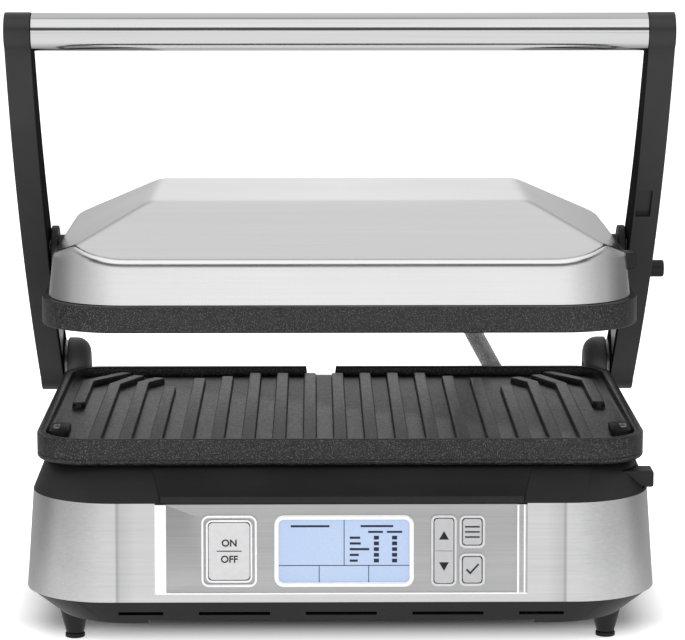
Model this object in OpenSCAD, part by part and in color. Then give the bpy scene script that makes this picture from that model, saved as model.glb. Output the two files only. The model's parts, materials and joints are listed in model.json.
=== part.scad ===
// Electric indoor grill with a hinged lid, two removable cast plates and a slide-out drip tray.
// Millimetres. X runs right, Y runs to the rear, Z runs up. The origin is on the table,
// under the centre of the base.

/* [Base] */
// Width of the base at the foot of the steel band
base_w = 342; // [320:1:360]
// Depth of the base at the foot of the steel band
base_d = 284; // [280:1:292]
// Height of the feet, from the table to the floor of the pan
foot_h = 20.5; // [16:0.5:26]
// Height of the pan below the steel band
pan_h = 11.9; // [10:0.1:16]
// Height of the steel band
band_h = 53.1; // [51:0.1:60]
// Height of the sloping shoulder above the band
shoulder_h = 15; // [14:0.5:18]
// How far each side of the band leans in towards its top
band_lean = 3.5; // [2:0.5:5]
// How far the front of the band leans back towards its top
face_lean = 4; // [2:0.5:6]
// Radius of the band's front corners
band_corner_r = 46; // [40:1:52]
// Radius of the base's rear corners
rear_corner_r = 18; // [14:1:22]
// Thickness of the steel band
band_t = 1.2; // [0.8:0.1:1.6]
// Wall of the plastic mouldings
wall = 2.2; // [1.8:0.1:3]

/* [Controls] */
// Width of the steel control panel
panel_w = 197.6; // [190:0.2:204]
// Width of the power button's ring
power_ring_w = 29.7; // [26:0.1:32]
// Width of the display frame
display_w = 74.3; // [60:0.1:78]
// Height of the rings round the tall controls
control_h = 38.2; // [36:0.1:40]
// Width of the ring round the up and down rocker
rocker_ring_w = 13.8; // [12:0.1:15]
// Width of the two small buttons' rings
small_ring_w = 13.8; // [12:0.1:15]
// Height of the two small buttons' rings
small_ring_h = 17.6; // [15:0.1:18]
// Clearance round a moving button
button_gap = 0.4; // [0.3:0.05:0.6]
// Travel of a button
button_travel = 1.2; // [0.8:0.1:1.6]

/* [Plates] */
// Width of each cooking plate
plate_w = 332; // [316:1:334]
// Depth of each cooking plate
plate_d = 235; // [225:1:236]
// Height of each plate's rim
plate_h = 14.6; // [13:0.2:17]
// Thickness of each plate's rim
plate_rim_t = 5; // [4:0.5:7]
// Radius of the lower plate's front corners
plate_r = 30; // [24:1:34]
// Radius of both plates' rear corners
plate_rear_r = 22; // [21:1:26]
// Number of ribs on each plate
rib_count = 17; // [9:2:19]
// Distance between ribs
rib_pitch = 16.7; // [14:0.1:17]
// Width of a rib at its foot
rib_w = 8; // [5:0.5:9]
// Height of a rib
rib_h = 3.6; // [2.5:0.1:4]
// Gap between a plate and what it rests in
plate_gap = 0.3; // [0.3:0.1:0.6]

/* [Lid] */
// Height of the upper plate's lower edge above the lower plate, with the lid as it stands
lid_lift = 53.3; // [45:0.1:60]
// How far behind the lower plate the lid stands while it is raised
lid_back = 28; // [24:0.5:32]
// Height of the lid's side walls
lid_wall_h = 24; // [20:0.5:28]
// Height of the lid's hipped roof
roof_h = 27.5; // [20:0.5:32]
// Width of the flat top
top_w = 212; // [190:1:230]
// Depth of the flat top
top_d = 118; // [100:1:130]
// Radius of the lid's front corners
lid_corner_r = 45; // [38:1:50]
// Thickness of the steel cover
lid_t = 1.2; // [0.8:0.1:1.6]

/* [Arms] */
// Thickness of each arm
arm_t = 14.5; // [12:0.5:17]
// Gap between an arm and the plates
arm_gap = 2; // [1.6:0.1:3]
// Height of the handle's axis above the table
handle_z = 331; // [320:1:340]
// Radius of the handle tube
handle_r = 10.4; // [9:0.1:12]
// Wall of the handle tube
handle_wall = 1.2; // [1:0.1:2]
// Height of the hinge axis above the table
hinge_z = 114.5; // [112:0.5:117]
// Radius of the hinge bosses
hinge_r = 16.2; // [14:0.1:17]
// Radius of the hinge pins
pin_r = 4; // [3:0.1:5]
// Running clearance between a pin and its bore
run_gap = 0.06; // [0.03:0.01:0.1]

/* [Conduit] */
// Diameter of the braided conduit
conduit_d = 11.4; // [9:0.1:12]

/* [Hidden] */
$fn = 48;
eps = 0.01;
seat = 0.3;                       // gap where one part merely stands on another

// Levels
band_z0 = foot_h + pan_h;
band_z1 = band_z0 + band_h;
shell_z1 = band_z1 + shoulder_h;
plate_z0 = shell_z1 + plate_gap;
plate_z1 = plate_z0 + plate_h;
upper_z0 = plate_z1 + lid_lift;
upper_z1 = upper_z0 + plate_h;
cover_z0 = upper_z1 + 0.4;
eave_z = cover_z0 + lid_wall_h;
top_z = eave_z + roof_h;

// Plan
base_y = base_d / 2;
band_hw = base_w / 2;
shoulder_in = 28;                 // how far the shoulder slopes back at the front
rear_room = 21;                   // depth behind the plate, for the hinges and the conduit
plate_hw = plate_w / 2;
plate_y0 = -base_y + shoulder_in;
plate_y1 = plate_y0 + plate_d;
base_rear_y = max(base_y, plate_y1 + rear_room);
shell_hw = band_hw - band_lean - 6;
shell_front_y = -base_y + face_lean + shoulder_in;
shell_rear_y = base_rear_y - 10;
lid_y0 = plate_y0 + lid_back;
lid_y1 = lid_y0 + plate_d;
lid_y = (lid_y0 + lid_y1) / 2;
cover_in = 3.6;                   // how far the steel cover is set in from the upper plate
arm_x0 = plate_hw + arm_gap;
arm_x1 = arm_x0 + arm_t;
hinge_y = plate_y1 + 15;
pivot_y = lid_y + 5.9;             // one turn about the hinge brings the lid onto the lower plate
pivot_z = eave_z - 7.2;
handle_y = plate_y0 + 55;
tower_x0 = plate_hw - 13.5;

// Control face: its own frame, with the panel in the XZ plane and -Y outwards
tilt = atan(face_lean / band_h);
panel_low = -band_h / 2 + 4.8;    // the band runs on below the panel
panel_depth = 1.2;                // how far the control panel lies behind the band's face
ring_t = 1.4;
ring_space = 1.3;                 // between the rocker's ring and the small rings
small_space = 2.8;                // between the two small rings
power_x = -panel_w / 2 + 39.1;
display_x = 1.5;
small_x = panel_w / 2 - 29;
rocker_x = small_x - small_ring_w / 2 - ring_space - rocker_ring_w / 2;
control_mid_z = 1;
menu_z = control_mid_z + (small_ring_h + small_space) / 2;
confirm_z = control_mid_z - (small_ring_h + small_space) / 2;
button_depth = 5;
axle_r = 1;                       // axle of the rocker, and its depth behind the band's face
axle_y = panel_depth + 2.4;
board_y = 9;

// ---------------------------------------------------------------- shared shapes

// A rounded rectangle seen from above, with its own radius at the front and at the rear
module plan(hw, y0, y1, front_r, rear_r) {
    polygon([
        [-hw, y0 + front_r], [-hw + front_r, y0], [hw - front_r, y0], [hw, y0 + front_r],
        [hw, y1 - rear_r], [hw - rear_r, y1], [-hw + rear_r, y1], [-hw, y1 - rear_r]
    ]);
    for (side = [-1, 1]) {
        translate([side * (hw - front_r), y0 + front_r]) circle(front_r);
        translate([side * (hw - rear_r), y1 - rear_r]) circle(rear_r);
    }
}

module slab(hw, y0, y1, front_r, rear_r, z0, z1) {
    translate([0, 0, z0]) linear_extrude(z1 - z0) plan(hw, y0, y1, front_r, rear_r);
}

// A box from its lowest corner to its highest corner
module block(low, high) {
    translate(low) cube(high - low);
}

// A cylinder along X
module rod_x(x0, x1, r, y, z) {
    translate([x0, y, z]) rotate([0, 90, 0]) cylinder(h = x1 - x0, r = r);
}

// A cylinder along Y
module rod_y(y0, y1, r, x, z) {
    translate([x, y0, z]) rotate([-90, 0, 0]) cylinder(h = y1 - y0, r = r);
}

module mirrored() {
    children();
    mirror([1, 0, 0]) children();
}

// Outside of the base between two levels of the band, drawn in by a given amount
module band_form(inset, z0, z1) {
    hull() {
        slab(band_hw - inset, -base_y + inset, base_rear_y - inset,
            band_corner_r - inset, rear_corner_r - inset, z0, z0 + eps, $fn = 64);
        slab(band_hw - band_lean - inset, -base_y + face_lean + inset, base_rear_y - inset,
            band_corner_r - inset, rear_corner_r - inset, z1 - eps, z1, $fn = 64);
    }
}

// The sloping shoulder from the top of the band to the rim under the lower plate
module shoulder_form(inset) {
    hull() {
        slab(band_hw - band_lean - inset, -base_y + face_lean + inset, base_rear_y - inset,
            band_corner_r - inset, rear_corner_r - inset, band_z1, band_z1 + eps, $fn = 64);
        slab(shell_hw - inset, shell_front_y + inset, shell_rear_y - inset,
            plate_r - inset + 4, rear_corner_r - inset, shell_z1 - eps, shell_z1, $fn = 64);
    }
}

// The control face's frame
module on_face() {
    translate([0, -base_y + face_lean / 2, band_z0 + band_h / 2])
        rotate([-tilt, 0, 0]) children();
}

// A slab with round corners on the control face, from depth y0 to depth y1
module face_slab(x, z, w, h, r, y0, y1) {
    translate([x, y1, z]) rotate([90, 0, 0])
        linear_extrude(y1 - y0) plan(w / 2, -h / 2, h / 2, r, r);
}

// A point of a cubic curve
function bezier(p, t) =
    pow(1 - t, 3) * p[0] + 3 * pow(1 - t, 2) * t * p[1]
    + 3 * (1 - t) * t * t * p[2] + pow(t, 3) * p[3];

// A round tube swept along a list of points, as one closed mesh
function unit(v) = v / norm(v);
function tangent(p, i) = unit(p[min(i + 1, len(p) - 1)] - p[max(i - 1, 0)]);
module swept_tube(path, r, sides) {
    rings = [
        for (i = [0 : len(path) - 1])
            let (t = tangent(path, i), a = unit(cross(t, [1, 0.2, 0])), b = cross(t, a))
            for (k = [0 : sides - 1])
                path[i] + r * (cos(360 * k / sides) * a + sin(360 * k / sides) * b)
    ];
    last = (len(path) - 1) * sides;
    faces = concat(
        [[for (k = [0 : sides - 1]) k]],
        [[for (k = [sides - 1 : -1 : 0]) last + k]],
        [
            for (i = [0 : len(path) - 2], k = [0 : sides - 1])
                [i * sides + k, (i + 1) * sides + k, i * sides + (k + 1) % sides]
        ],
        [
            for (i = [0 : len(path) - 2], k = [0 : sides - 1])
                [i * sides + (k + 1) % sides, (i + 1) * sides + k,
                    (i + 1) * sides + (k + 1) % sides]
        ]
    );
    polyhedron(rings, faces);
}

// ---------------------------------------------------------------- base

foot_side_in = 24.6;                // the feet's places from the sides, the front and the rear
foot_front_in = 54;
foot_rear_in = 42;
foot_x = band_hw - foot_side_in;
foot_front_y = -base_y + foot_front_in;
foot_rear_y = base_rear_y - foot_rear_in;
foot_top_r = 9.4;
foot_end_r = 4.8;
pad_h = 2.5;
pan_in = 17;                      // how far the pan's floor is drawn in at each side
screw_r = 2;
boss_r = 4.5;
boss_z1 = band_z0 + 8;

// Drip tray bay, open at the rear
tray_hw = 100;
tray_d = 69.6;
tray_h = 34;
tray_back = 0.4;                  // how far the tray's face lies in front of the base's rear
tray_y1 = base_rear_y - tray_back;
tray_y0 = tray_y1 - tray_d;
tray_z0 = band_z0 + 2;
tray_z1 = tray_z0 + tray_h;
tray_gap = 0.8;

module foot_places() {
    for (side = [-1, 1], y = [foot_front_y, foot_rear_y]) translate([side * foot_x, y, 0])
        children();
}

module pan_form(inset) {
    hull() {
        slab(band_hw - pan_in - inset, -base_y + 3 + inset, base_rear_y - 3 - inset,
            band_corner_r - 4 - inset, rear_corner_r - inset, foot_h + inset,
            foot_h + inset + eps, $fn = 64);
        slab(band_hw - 0.6 - inset, -base_y + 0.6 + inset, base_rear_y - 0.6 - inset,
            band_corner_r - inset, rear_corner_r - inset, band_z0 - eps, band_z0, $fn = 64);
    }
}

slot_h = 1.8;
slot_mid_z = foot_h + 5.5;
step_hw = 103;                    // the pan's floor is stepped up along its front, between the feet
step_d = 30;
step_h = 1.8;
front_slots = [[-119, -95], [-76, -38], [-19, 19], [38, 76], [95, 119]];
vent_hw = 70;
vent_w = 4;
vent_pitch = 12;
vent_y0 = -60;

module base_pan() color([0.17, 0.17, 0.18]) {
    difference() {
        pan_form(0);
        translate([0, 0, eps]) pan_form(wall);
        block([-step_hw, -base_y - 1, foot_h - 1], [step_hw, -base_y + step_d, foot_h + step_h]);
        for (slot = front_slots)
            block([slot[0], -base_y - 1, slot_mid_z - slot_h / 2],
                [slot[1], -base_y + 14, slot_mid_z + slot_h / 2]);
        for (row = [0 : 7]) {
            y = vent_y0 + row * vent_pitch;
            block([-vent_hw, y, foot_h - 1], [vent_hw, y + vent_w, foot_h + wall + 1]);
        }
        foot_places() translate([0, 0, foot_h - 1]) cylinder(h = boss_z1 - foot_h, r = screw_r);
    }
    intersection() {
        pan_form(0);
        block([-step_hw - wall, -base_y, foot_h + step_h],
            [step_hw + wall, -base_y + step_d + wall, foot_h + step_h + wall]);
    }
    foot_places() translate([0, 0, foot_h + wall]) difference() {
        cylinder(h = boss_z1 - foot_h - wall, r = boss_r);
        translate([0, 0, -1]) cylinder(h = boss_z1, r = screw_r);
    }
}

module feet() color([0.13, 0.13, 0.14]) foot_places() difference() {
    translate([0, 0, pad_h]) cylinder(h = foot_h - pad_h, r1 = foot_end_r, r2 = foot_top_r);
    translate([0, 0, pad_h - 1]) cylinder(h = foot_h, r = screw_r);
}

module foot_pads() color([0.08, 0.08, 0.08]) foot_places() cylinder(h = pad_h, r = foot_end_r + 0.6);

module base_screws() color([0.6, 0.6, 0.62]) foot_places() {
    translate([0, 0, pad_h + eps]) cylinder(h = boss_z1 + 4 - pad_h, r = screw_r - 0.05);
    translate([0, 0, boss_z1 + 0.2]) cylinder(h = 3, r = 3.4);
}

band_end_in = 46;
band_end_y = base_rear_y - band_end_in; // where the steel band stops and the plastic rear begins
panel_hw = panel_w / 2;
panel_opening_z0 = band_z0 + band_h / 2 + panel_low - 0.3;

module front_band() color([0.75, 0.75, 0.76]) difference() {
    band_form(0, band_z0 + 0.2, band_z1);
    band_form(band_t, band_z0 - 1, band_z1 + 1);
    block([-base_w, band_end_y, band_z0 - 1], [base_w, base_rear_y + 5, band_z1 + 1]);
    block([-panel_hw - 0.4, -base_y - 5, panel_opening_z0],
        [panel_hw + 0.4, -base_y + 30, band_z1 + 1]);
}

module tower_outline(gap) {
    translate([hinge_y, hinge_z]) circle(hinge_r + gap);
    polygon([
        [hinge_y - hinge_r - gap, hinge_z], [hinge_y - 14 - gap, band_z1 + 2 - gap],
        [hinge_y + 1 + gap, band_z1 + 2 - gap], [hinge_y + hinge_r + gap, hinge_z]
    ]);
}

module tower_form(x0, x1, gap) {
    translate([x0, 0, 0]) rotate([90, 0, 90]) linear_extrude(x1 - x0) tower_outline(gap);
}

shell_open_hw = plate_hw - 20;
shell_open_y0 = plate_y0 + 14;
shell_open_y1 = plate_y1 - 12;
gland_x = band_hw - 61;
gland_y = base_rear_y - 8;
gland_z = band_z1 + 2;
gland_r = conduit_d / 2 + 2.2;
release_y0 = plate_y0 + 8;
release_y1 = plate_y0 + 24;
lower_release_z0 = band_z1 + 1.5;
lower_release_z1 = lower_release_z0 + 9;
release_gap = 0.5;

module base_shell() color([0.16, 0.16, 0.17]) difference() {
    union() {
        difference() {
            shoulder_form(0);
            translate([0, 0, -wall]) shoulder_form(wall);
            slab(shell_open_hw, shell_open_y0, shell_open_y1, 20, 12, band_z1 - 5, shell_z1 + 5);
        }
        difference() {
            band_form(band_t + 0.15, band_z0 + 0.3, band_z1 + 0.1);
            band_form(band_t + 0.15 + wall, band_z0 - 1, band_z1 + 1);
        }
        intersection() {
            difference() {
                band_form(0, band_z0 + 0.3, band_z1);
                band_form(band_t + wall, band_z0 - 1, band_z1 + 1);
            }
            block([-base_w, band_end_y + 0.3, band_z0], [base_w, base_rear_y + 5, band_z1 + 1]);
        }
    }
    // opening for the control panel
    block([-panel_hw + 5, -base_y - 5, band_z0 + 6], [panel_hw - 5, -base_y + 40, band_z1 - 4]);
    block([-panel_hw - 0.4, -base_y - 5, band_z0 + 2],
        [panel_hw + 0.4, -base_y + face_lean + 3.2, band_z1 - 0.6]);
    // seats for the hinge towers
    mirrored() tower_form(tower_x0 - 0.1, tower_x0 + 30, 0.1);
    // drip tray bay
    block([-tray_hw - tray_gap, base_rear_y - 15, tray_z0 - tray_gap],
        [tray_hw + tray_gap, base_rear_y + 5, tray_z1 + tray_gap]);
    // release button
    block([plate_hw - 40, release_y0 - release_gap, lower_release_z0 - release_gap],
        [base_w, release_y1 + release_gap, lower_release_z1 + release_gap]);
    // glands of the conduit and of the mains lead
    on_gland() translate([0, 0, -22]) cylinder(h = 60, r = gland_r + 0.1);
    rod_y(base_rear_y - 15, base_rear_y + 5, inlet_r + 0.1, inlet_x, inlet_z);
}

inlet_x = band_hw - 43;
inlet_z = band_z0 + 18;
inlet_r = 7;
lead_r = 3.6;                     // bore for the mains lead
inlet_seat_y = base_rear_y - band_t - wall - 0.25;

module power_inlet() color([0.1, 0.1, 0.1]) difference() {
    union() {
        rod_y(inlet_seat_y - 4.35, inlet_seat_y, inlet_r + 2.5, inlet_x, inlet_z);
        rod_y(inlet_seat_y - 0.05, base_rear_y + 1.5, inlet_r, inlet_x, inlet_z);
    }
    rod_y(base_rear_y - 20, base_rear_y + 5, lead_r, inlet_x, inlet_z);
}

module hinge_tower(side) {
    mirror([side < 0 ? 1 : 0, 0, 0]) difference() {
        union() {
            tower_form(tower_x0, plate_hw - 5.5, 0);
            rod_x(tower_x0, plate_hw, hinge_r, hinge_y, hinge_z);
        }
        rod_x(tower_x0 + 2, plate_hw + 1, pin_r, hinge_y, hinge_z);
    }
}

module hinge_tower_left() color([0.15, 0.15, 0.16]) hinge_tower(-1);
module hinge_tower_right() color([0.15, 0.15, 0.16]) hinge_tower(1);

module hinge_pins() color([0.65, 0.65, 0.67])
    mirrored() rod_x(tower_x0 + 2, arm_x1 - 3, pin_r, hinge_y, hinge_z);

disc_gap = 0.25;

module hinge_discs() color([0.6, 0.6, 0.62]) mirrored() difference() {
    rod_x(plate_hw + disc_gap, arm_x0 - disc_gap, hinge_r - 1.5, hinge_y, hinge_z);
    rod_x(plate_hw - 1, arm_x0 + 1, pin_r + run_gap, hinge_y, hinge_z);
}

// ---------------------------------------------------------------- inside the base

grip_hw = 28;

module drip_tray() color([0.2, 0.2, 0.21]) {
    difference() {
        block([-tray_hw, tray_y0, tray_z0], [tray_hw, tray_y1, tray_z1]);
        block([-tray_hw + wall, tray_y0 + wall, tray_z0 + wall],
            [tray_hw - wall, tray_y1 - 2 * wall, tray_z1 + 1]);
        // finger recess in the rear face
        block([-grip_hw, tray_y1 - wall, tray_z0 + 8], [grip_hw, tray_y1 + 5, tray_z0 + 24]);
    }
}

reflector_z0 = band_z1 - 6;
reflector_t = 0.8;
heater_r = 3.3;
heater_z = plate_z0 - 0.4 - heater_r;
heater_bend_r = 32;
heater_side_in = 56;              // the heaters' places from the plates' sides, front and rear
heater_end_in = 47.5;
heater_hw = plate_hw - heater_side_in;
heater_half_d = plate_d / 2 - heater_end_in;
base_heater_y = (plate_y0 + plate_y1) / 2;

flange_z1 = shell_z1 - wall - 0.05;
flange_w = 9;                     // the flange reaches this far out under the shell's top

module lower_reflector() color([0.72, 0.72, 0.73]) difference() {
    union() {
        slab(shell_open_hw - 3, shell_open_y0 + 3, shell_open_y1 - 3, 18, 10,
            reflector_z0, flange_z1);
        slab(shell_open_hw - 3 + flange_w, shell_open_y0 + 3 - flange_w,
            shell_open_y1 - 3 + flange_w, 18 + flange_w, 10 + flange_w,
            flange_z1 - reflector_t, flange_z1);
    }
    slab(shell_open_hw - 3 - reflector_t, shell_open_y0 + 3 + reflector_t,
        shell_open_y1 - 3 - reflector_t, 17, 9, reflector_z0 + reflector_t, shell_z1);
    // drain hole above the tray
    translate([drain_x, drain_y, reflector_z0 - 1]) cylinder(h = 10, r = 7);
    translate([sensor_x, 0, reflector_z0 - 1]) cylinder(h = 10, r = sensor_r + 0.5);
    for (side = [-1, 1])
        translate([side * heater_leg_x, heater_leg_y, reflector_z0 - 1])
            cylinder(h = 10, r = heater_r + 0.6);
}

drain_x = -10;
drain_y = plate_y1 - 24;
sensor_x = 0;
sensor_r = 9;
heater_leg_x = 20;
heater_leg_y = base_heater_y - heater_half_d;

// A quarter turn of a path, from one angle to the next, in the plane of the two directions
arc_steps = 7;
function arc(centre, r, along, across, from) = [
    for (i = [0 : arc_steps])
        let (angle = from + 90 * i / arc_steps)
        centre + r * (cos(angle) * along + sin(angle) * across)
];

// Half of a heater's path: up its cold leg, out to one side and round to the middle of the rear run
leg_bend_r = 8;
right_way = [1, 0, 0];
rear_way = [0, 1, 0];
function heater_half(mid_y, z, leg) =
    let (
        front_y = mid_y - heater_half_d,
        rear_y = mid_y + heater_half_d,
        bend_x = heater_hw - heater_bend_r,
        leg_way = [0, 0, sign(leg)]
    )
    concat(
        [[heater_leg_x, front_y, z + leg]],
        arc([heater_leg_x + leg_bend_r, front_y, z + leg_bend_r * sign(leg)], leg_bend_r,
            -right_way, -leg_way, 0),
        arc([bend_x, front_y + heater_bend_r, z], heater_bend_r, -rear_way, right_way, 0),
        arc([bend_x, rear_y - heater_bend_r, z], heater_bend_r, right_way, rear_way, 0)
    );

function mirror_x(p) = [-p[0], p[1], p[2]];

// A heater is one tube: a loop round the plate with both cold ends turned away from the plate
module heater_loop(mid_y, z, leg) {
    half = heater_half(mid_y, z, leg);
    other = [for (i = [len(half) - 1 : -1 : 0]) mirror_x(half[i])];
    swept_tube(concat(half, other), heater_r, 12);
}

module lower_heater() color([0.45, 0.44, 0.43]) heater_loop(base_heater_y, heater_z, -28);

module lower_sensor() color([0.7, 0.7, 0.68]) {
    translate([sensor_x, 0, plate_z0 - 22]) cylinder(h = 21.6, r = sensor_r - 3);
    translate([sensor_x, 0, plate_z0 - 28]) cylinder(h = 8, r = sensor_r);
}

board_t = 1.6;
power_board_w = 90;
power_board_d = 100;
power_board_x = -band_hw + 41;
power_board_y = tray_y0 - power_board_d - 12;
power_board_z = band_z0 + 14;

module power_board() color([0.12, 0.35, 0.2])
    translate([power_board_x, power_board_y, power_board_z]) {
        cube([power_board_w, power_board_d, board_t]);
        // relays and transformer
        for (i = [0 : 2])
            translate([6 + 26 * i, 10, board_t - eps]) cube([18, 28, 15.4]);
        translate([10, 54, board_t - eps]) cube([40, 32, 20.4]);
        // posts down to the pan's floor
        post_h = power_board_z - foot_h - wall - 0.1;
        for (x = [1, power_board_w - 5], y = [3, power_board_d - 7])
            translate([x, y, -post_h]) cube([4, 4, post_h + eps]);
    }

clip_in = 26;
clip_hw = 6;
clip_x = shell_open_hw - clip_in;
clip_y = shell_open_y0 + 6;
clip_t = 0.8;

// Spring clips that stand on the reflector's floor and hold the plate down
module plate_clips() color([0.7, 0.7, 0.7]) mirrored() {
    block([clip_x - clip_hw, clip_y, reflector_z0 + reflector_t],
        [clip_x + clip_hw, clip_y + clip_t, plate_z0 - seat]);
    block([clip_x - clip_hw, clip_y - eps, reflector_z0 + reflector_t],
        [clip_x + clip_hw, clip_y + 10, reflector_z0 + reflector_t + clip_t]);
}

module lower_release_button() color([0.14, 0.14, 0.15]) {
    block([shell_open_hw + 4, release_y0, lower_release_z0],
        [band_hw - 1, release_y1, lower_release_z1]);
}

// The gland leans to the left and to the rear, towards the lid
gland_lean_y = 20;
gland_lean_x = 30;

module on_gland() {
    translate([gland_x, gland_y, gland_z]) rotate([-gland_lean_y, -gland_lean_x, 0]) children();
}

module conduit_gland_base() color([0.12, 0.12, 0.13]) on_gland() difference() {
    translate([0, 0, -12]) cylinder(h = 20, r = gland_r);
    translate([0, 0, -20]) cylinder(h = 60, r = conduit_d / 2 + 0.1);
}

// ---------------------------------------------------------------- control panel

module ring(x, z, w, h, r) {
    difference() {
        face_slab(x, z, w, h, r, panel_depth - 1.1, panel_depth);
        face_slab(x, z, w - 2 * ring_t, h - 2 * ring_t, r - ring_t, panel_depth - 2, panel_depth + 1);
    }
}

module key(x, z, w, h, r, proud) {
    face_slab(x, z, w - 2 * button_gap, h - 2 * button_gap, r, panel_depth - proud,
        panel_depth + button_depth);
}

power_key_w = power_ring_w - 2 * ring_t - 4;
power_key_h = control_h - 2 * ring_t - 3.7;
rocker_key_w = rocker_ring_w - 2 * ring_t;
rocker_key_h = control_h - 2 * ring_t;
small_key_w = small_ring_w - 2 * ring_t;
small_key_h = small_ring_h - 2 * ring_t;
display_inner_w = display_w - 4;
display_inner_h = control_h - 3.8;

module key_holes(y0, y1) {
    face_slab(power_x, control_mid_z, power_key_w, power_key_h, 3, y0, y1);
    face_slab(rocker_x, control_mid_z, rocker_key_w, rocker_key_h, 2, y0, y1);
    face_slab(small_x, menu_z, small_key_w, small_key_h, 2, y0, y1);
    face_slab(small_x, confirm_z, small_key_w, small_key_h, 2, y0, y1);
    face_slab(display_x, control_mid_z, display_inner_w, display_inner_h, 1, y0, y1);
}

module control_panel() color([0.7, 0.7, 0.71]) on_face() difference() {
    union() {
        block([-panel_hw, panel_depth, panel_low], [panel_hw, panel_depth + 1.4, band_h / 2 - 0.6]);
        // raised edges at both sides of the inset
        for (side = [-1, 1]) {
            x = side * (panel_hw - 2.2);
            block([x - 2.2, 0, panel_low], [x + 2.2, panel_depth + eps, band_h / 2 - 0.6]);
        }
    }
    key_holes(panel_depth - 3, panel_depth + 5);
}

module panel_rings() color([0.9, 0.9, 0.9]) on_face() {
    ring(power_x, control_mid_z, power_ring_w, control_h, 4);
    ring(rocker_x, control_mid_z, rocker_ring_w, control_h, 3.2);
    ring(small_x, menu_z, small_ring_w, small_ring_h, 3.2);
    ring(small_x, confirm_z, small_ring_w, small_ring_h, 3.2);
}

module display_frame() color([0.85, 0.85, 0.85]) on_face() difference() {
    face_slab(display_x, control_mid_z, display_w, control_h, 2, panel_depth - 1, panel_depth);
    face_slab(display_x, control_mid_z, display_inner_w, display_inner_h, 1,
        panel_depth - 3, panel_depth + 3);
}

lens_t = 1.4;

module display_lens() color([0.78, 0.86, 0.96]) on_face()
    face_slab(display_x, control_mid_z, display_inner_w - 0.3, display_inner_h - 0.3, 1,
        panel_depth - 0.4, panel_depth - 0.4 + lens_t);

module display_module() color([0.62, 0.72, 0.9]) on_face()
    face_slab(display_x, control_mid_z, display_inner_w - 0.6, display_inner_h - 0.6, 0.8,
        panel_depth - 0.3 + lens_t, board_y - 0.1);

module power_button() color([0.88, 0.88, 0.88]) on_face()
    key(power_x, control_mid_z, power_key_w, power_key_h, 2.6, 1.4);

module arrow_rocker() color([0.86, 0.86, 0.86]) on_face() difference() {
    key(rocker_x, control_mid_z, rocker_key_w, rocker_key_h, 1.8, 1.2);
    translate([rocker_x - rocker_ring_w, axle_y, control_mid_z]) rotate([0, 90, 0])
        cylinder(h = 2 * rocker_ring_w, r = axle_r + run_gap);
}

module menu_button() color([0.86, 0.86, 0.86]) on_face()
    key(small_x, menu_z, small_key_w, small_key_h, 1.8, 1.2);

module confirm_button() color([0.86, 0.86, 0.86]) on_face()
    key(small_x, confirm_z, small_key_w, small_key_h, 1.8, 1.2);

switch_y = panel_depth + button_depth + button_travel + 0.2;
switch_hw = 3;
post_x = rocker_key_w / 2 + 0.4;
board_hh = control_h / 2 - 0.1;
board_x0 = power_x - power_ring_w / 2 - 5.5;
board_x1 = small_x + small_ring_w / 2 + 7.3;

module control_board() color([0.1, 0.32, 0.18]) on_face() {
    block([board_x0, board_y, control_mid_z - board_hh],
        [board_x1, board_y + board_t, control_mid_z + board_hh]);
    // switches behind the buttons
    for (p = [[power_x, control_mid_z], [small_x, menu_z], [small_x, confirm_z]])
        block([p[0] - switch_hw, switch_y, p[1] - switch_hw],
            [p[0] + switch_hw, board_y + eps, p[1] + switch_hw]);
    // rocker axle on two posts
    translate([rocker_x - post_x - 0.3, axle_y, control_mid_z]) rotate([0, 90, 0])
        cylinder(h = 2 * post_x + 0.6, r = axle_r);
    for (side = [-1, 1])
        block([rocker_x + side * post_x - 0.45, axle_y - 0.9, control_mid_z - 1.5],
            [rocker_x + side * post_x + 0.45, board_y + eps, control_mid_z + 1.5]);
}

// ---------------------------------------------------------------- cooking plates

floor_front = plate_h - 4.2;      // height of the cooking floor above the plate's underside
floor_rear = plate_h - 5.6;
rib_span_y0 = plate_rim_t + 2;    // ribs start this far behind the plate's front edge
notch_x0 = -19;
notch_x1 = -1;

// The cooking pocket, in the plate's own frame: the plate's underside is at z = 0
module plate_pocket(front_r) {
    intersection() {
        slab(plate_hw - plate_rim_t, plate_rim_t, plate_d - plate_rim_t,
            front_r - plate_rim_t, plate_rear_r - plate_rim_t, 0, plate_h + 5);
        translate([-plate_w, 0, 0]) rotate([90, 0, 90]) linear_extrude(2 * plate_w)
            polygon([
                [-5, floor_front], [plate_d + 5, floor_rear],
                [plate_d + 5, plate_h + 10], [-5, plate_h + 10]
            ]);
    }
}

rib_side_in = 0.9;                // how far a rib's sides lean in

// How far in front of the rear rim each rib ends: the outer ones turn inwards before it
rib_backs = [47, 41, 18, 8];
function rib_end(i) =
    plate_d - plate_rim_t - rib_backs[min(i, rib_count - 1 - i, len(rib_backs) - 1)];

// One straight rib of the given length, starting at the origin and running along +Y
module rib(length) {
    rotate([90, 0, 180]) linear_extrude(length)
        polygon([
            [-rib_w / 2, 0], [rib_w / 2, 0],
            [rib_w / 2 - rib_side_in, rib_h], [-rib_w / 2 + rib_side_in, rib_h]
        ]);
}

floor_slope = atan((floor_front - floor_rear) / plate_d);

// A rib on the sloping floor, from a place on it, turned inwards by an angle
module floor_rib(x, y, angle, length) {
    translate([x, y, floor_front - 0.3 - y * tan(floor_slope)])
        rotate([-floor_slope, 0, 0]) rotate([0, 0, angle]) rib(length);
}

module ribs() {
    for (i = [0 : rib_count - 1])
        floor_rib((i - (rib_count - 1) / 2) * rib_pitch, rib_span_y0, 0, rib_end(i) - rib_span_y0);
}

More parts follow.
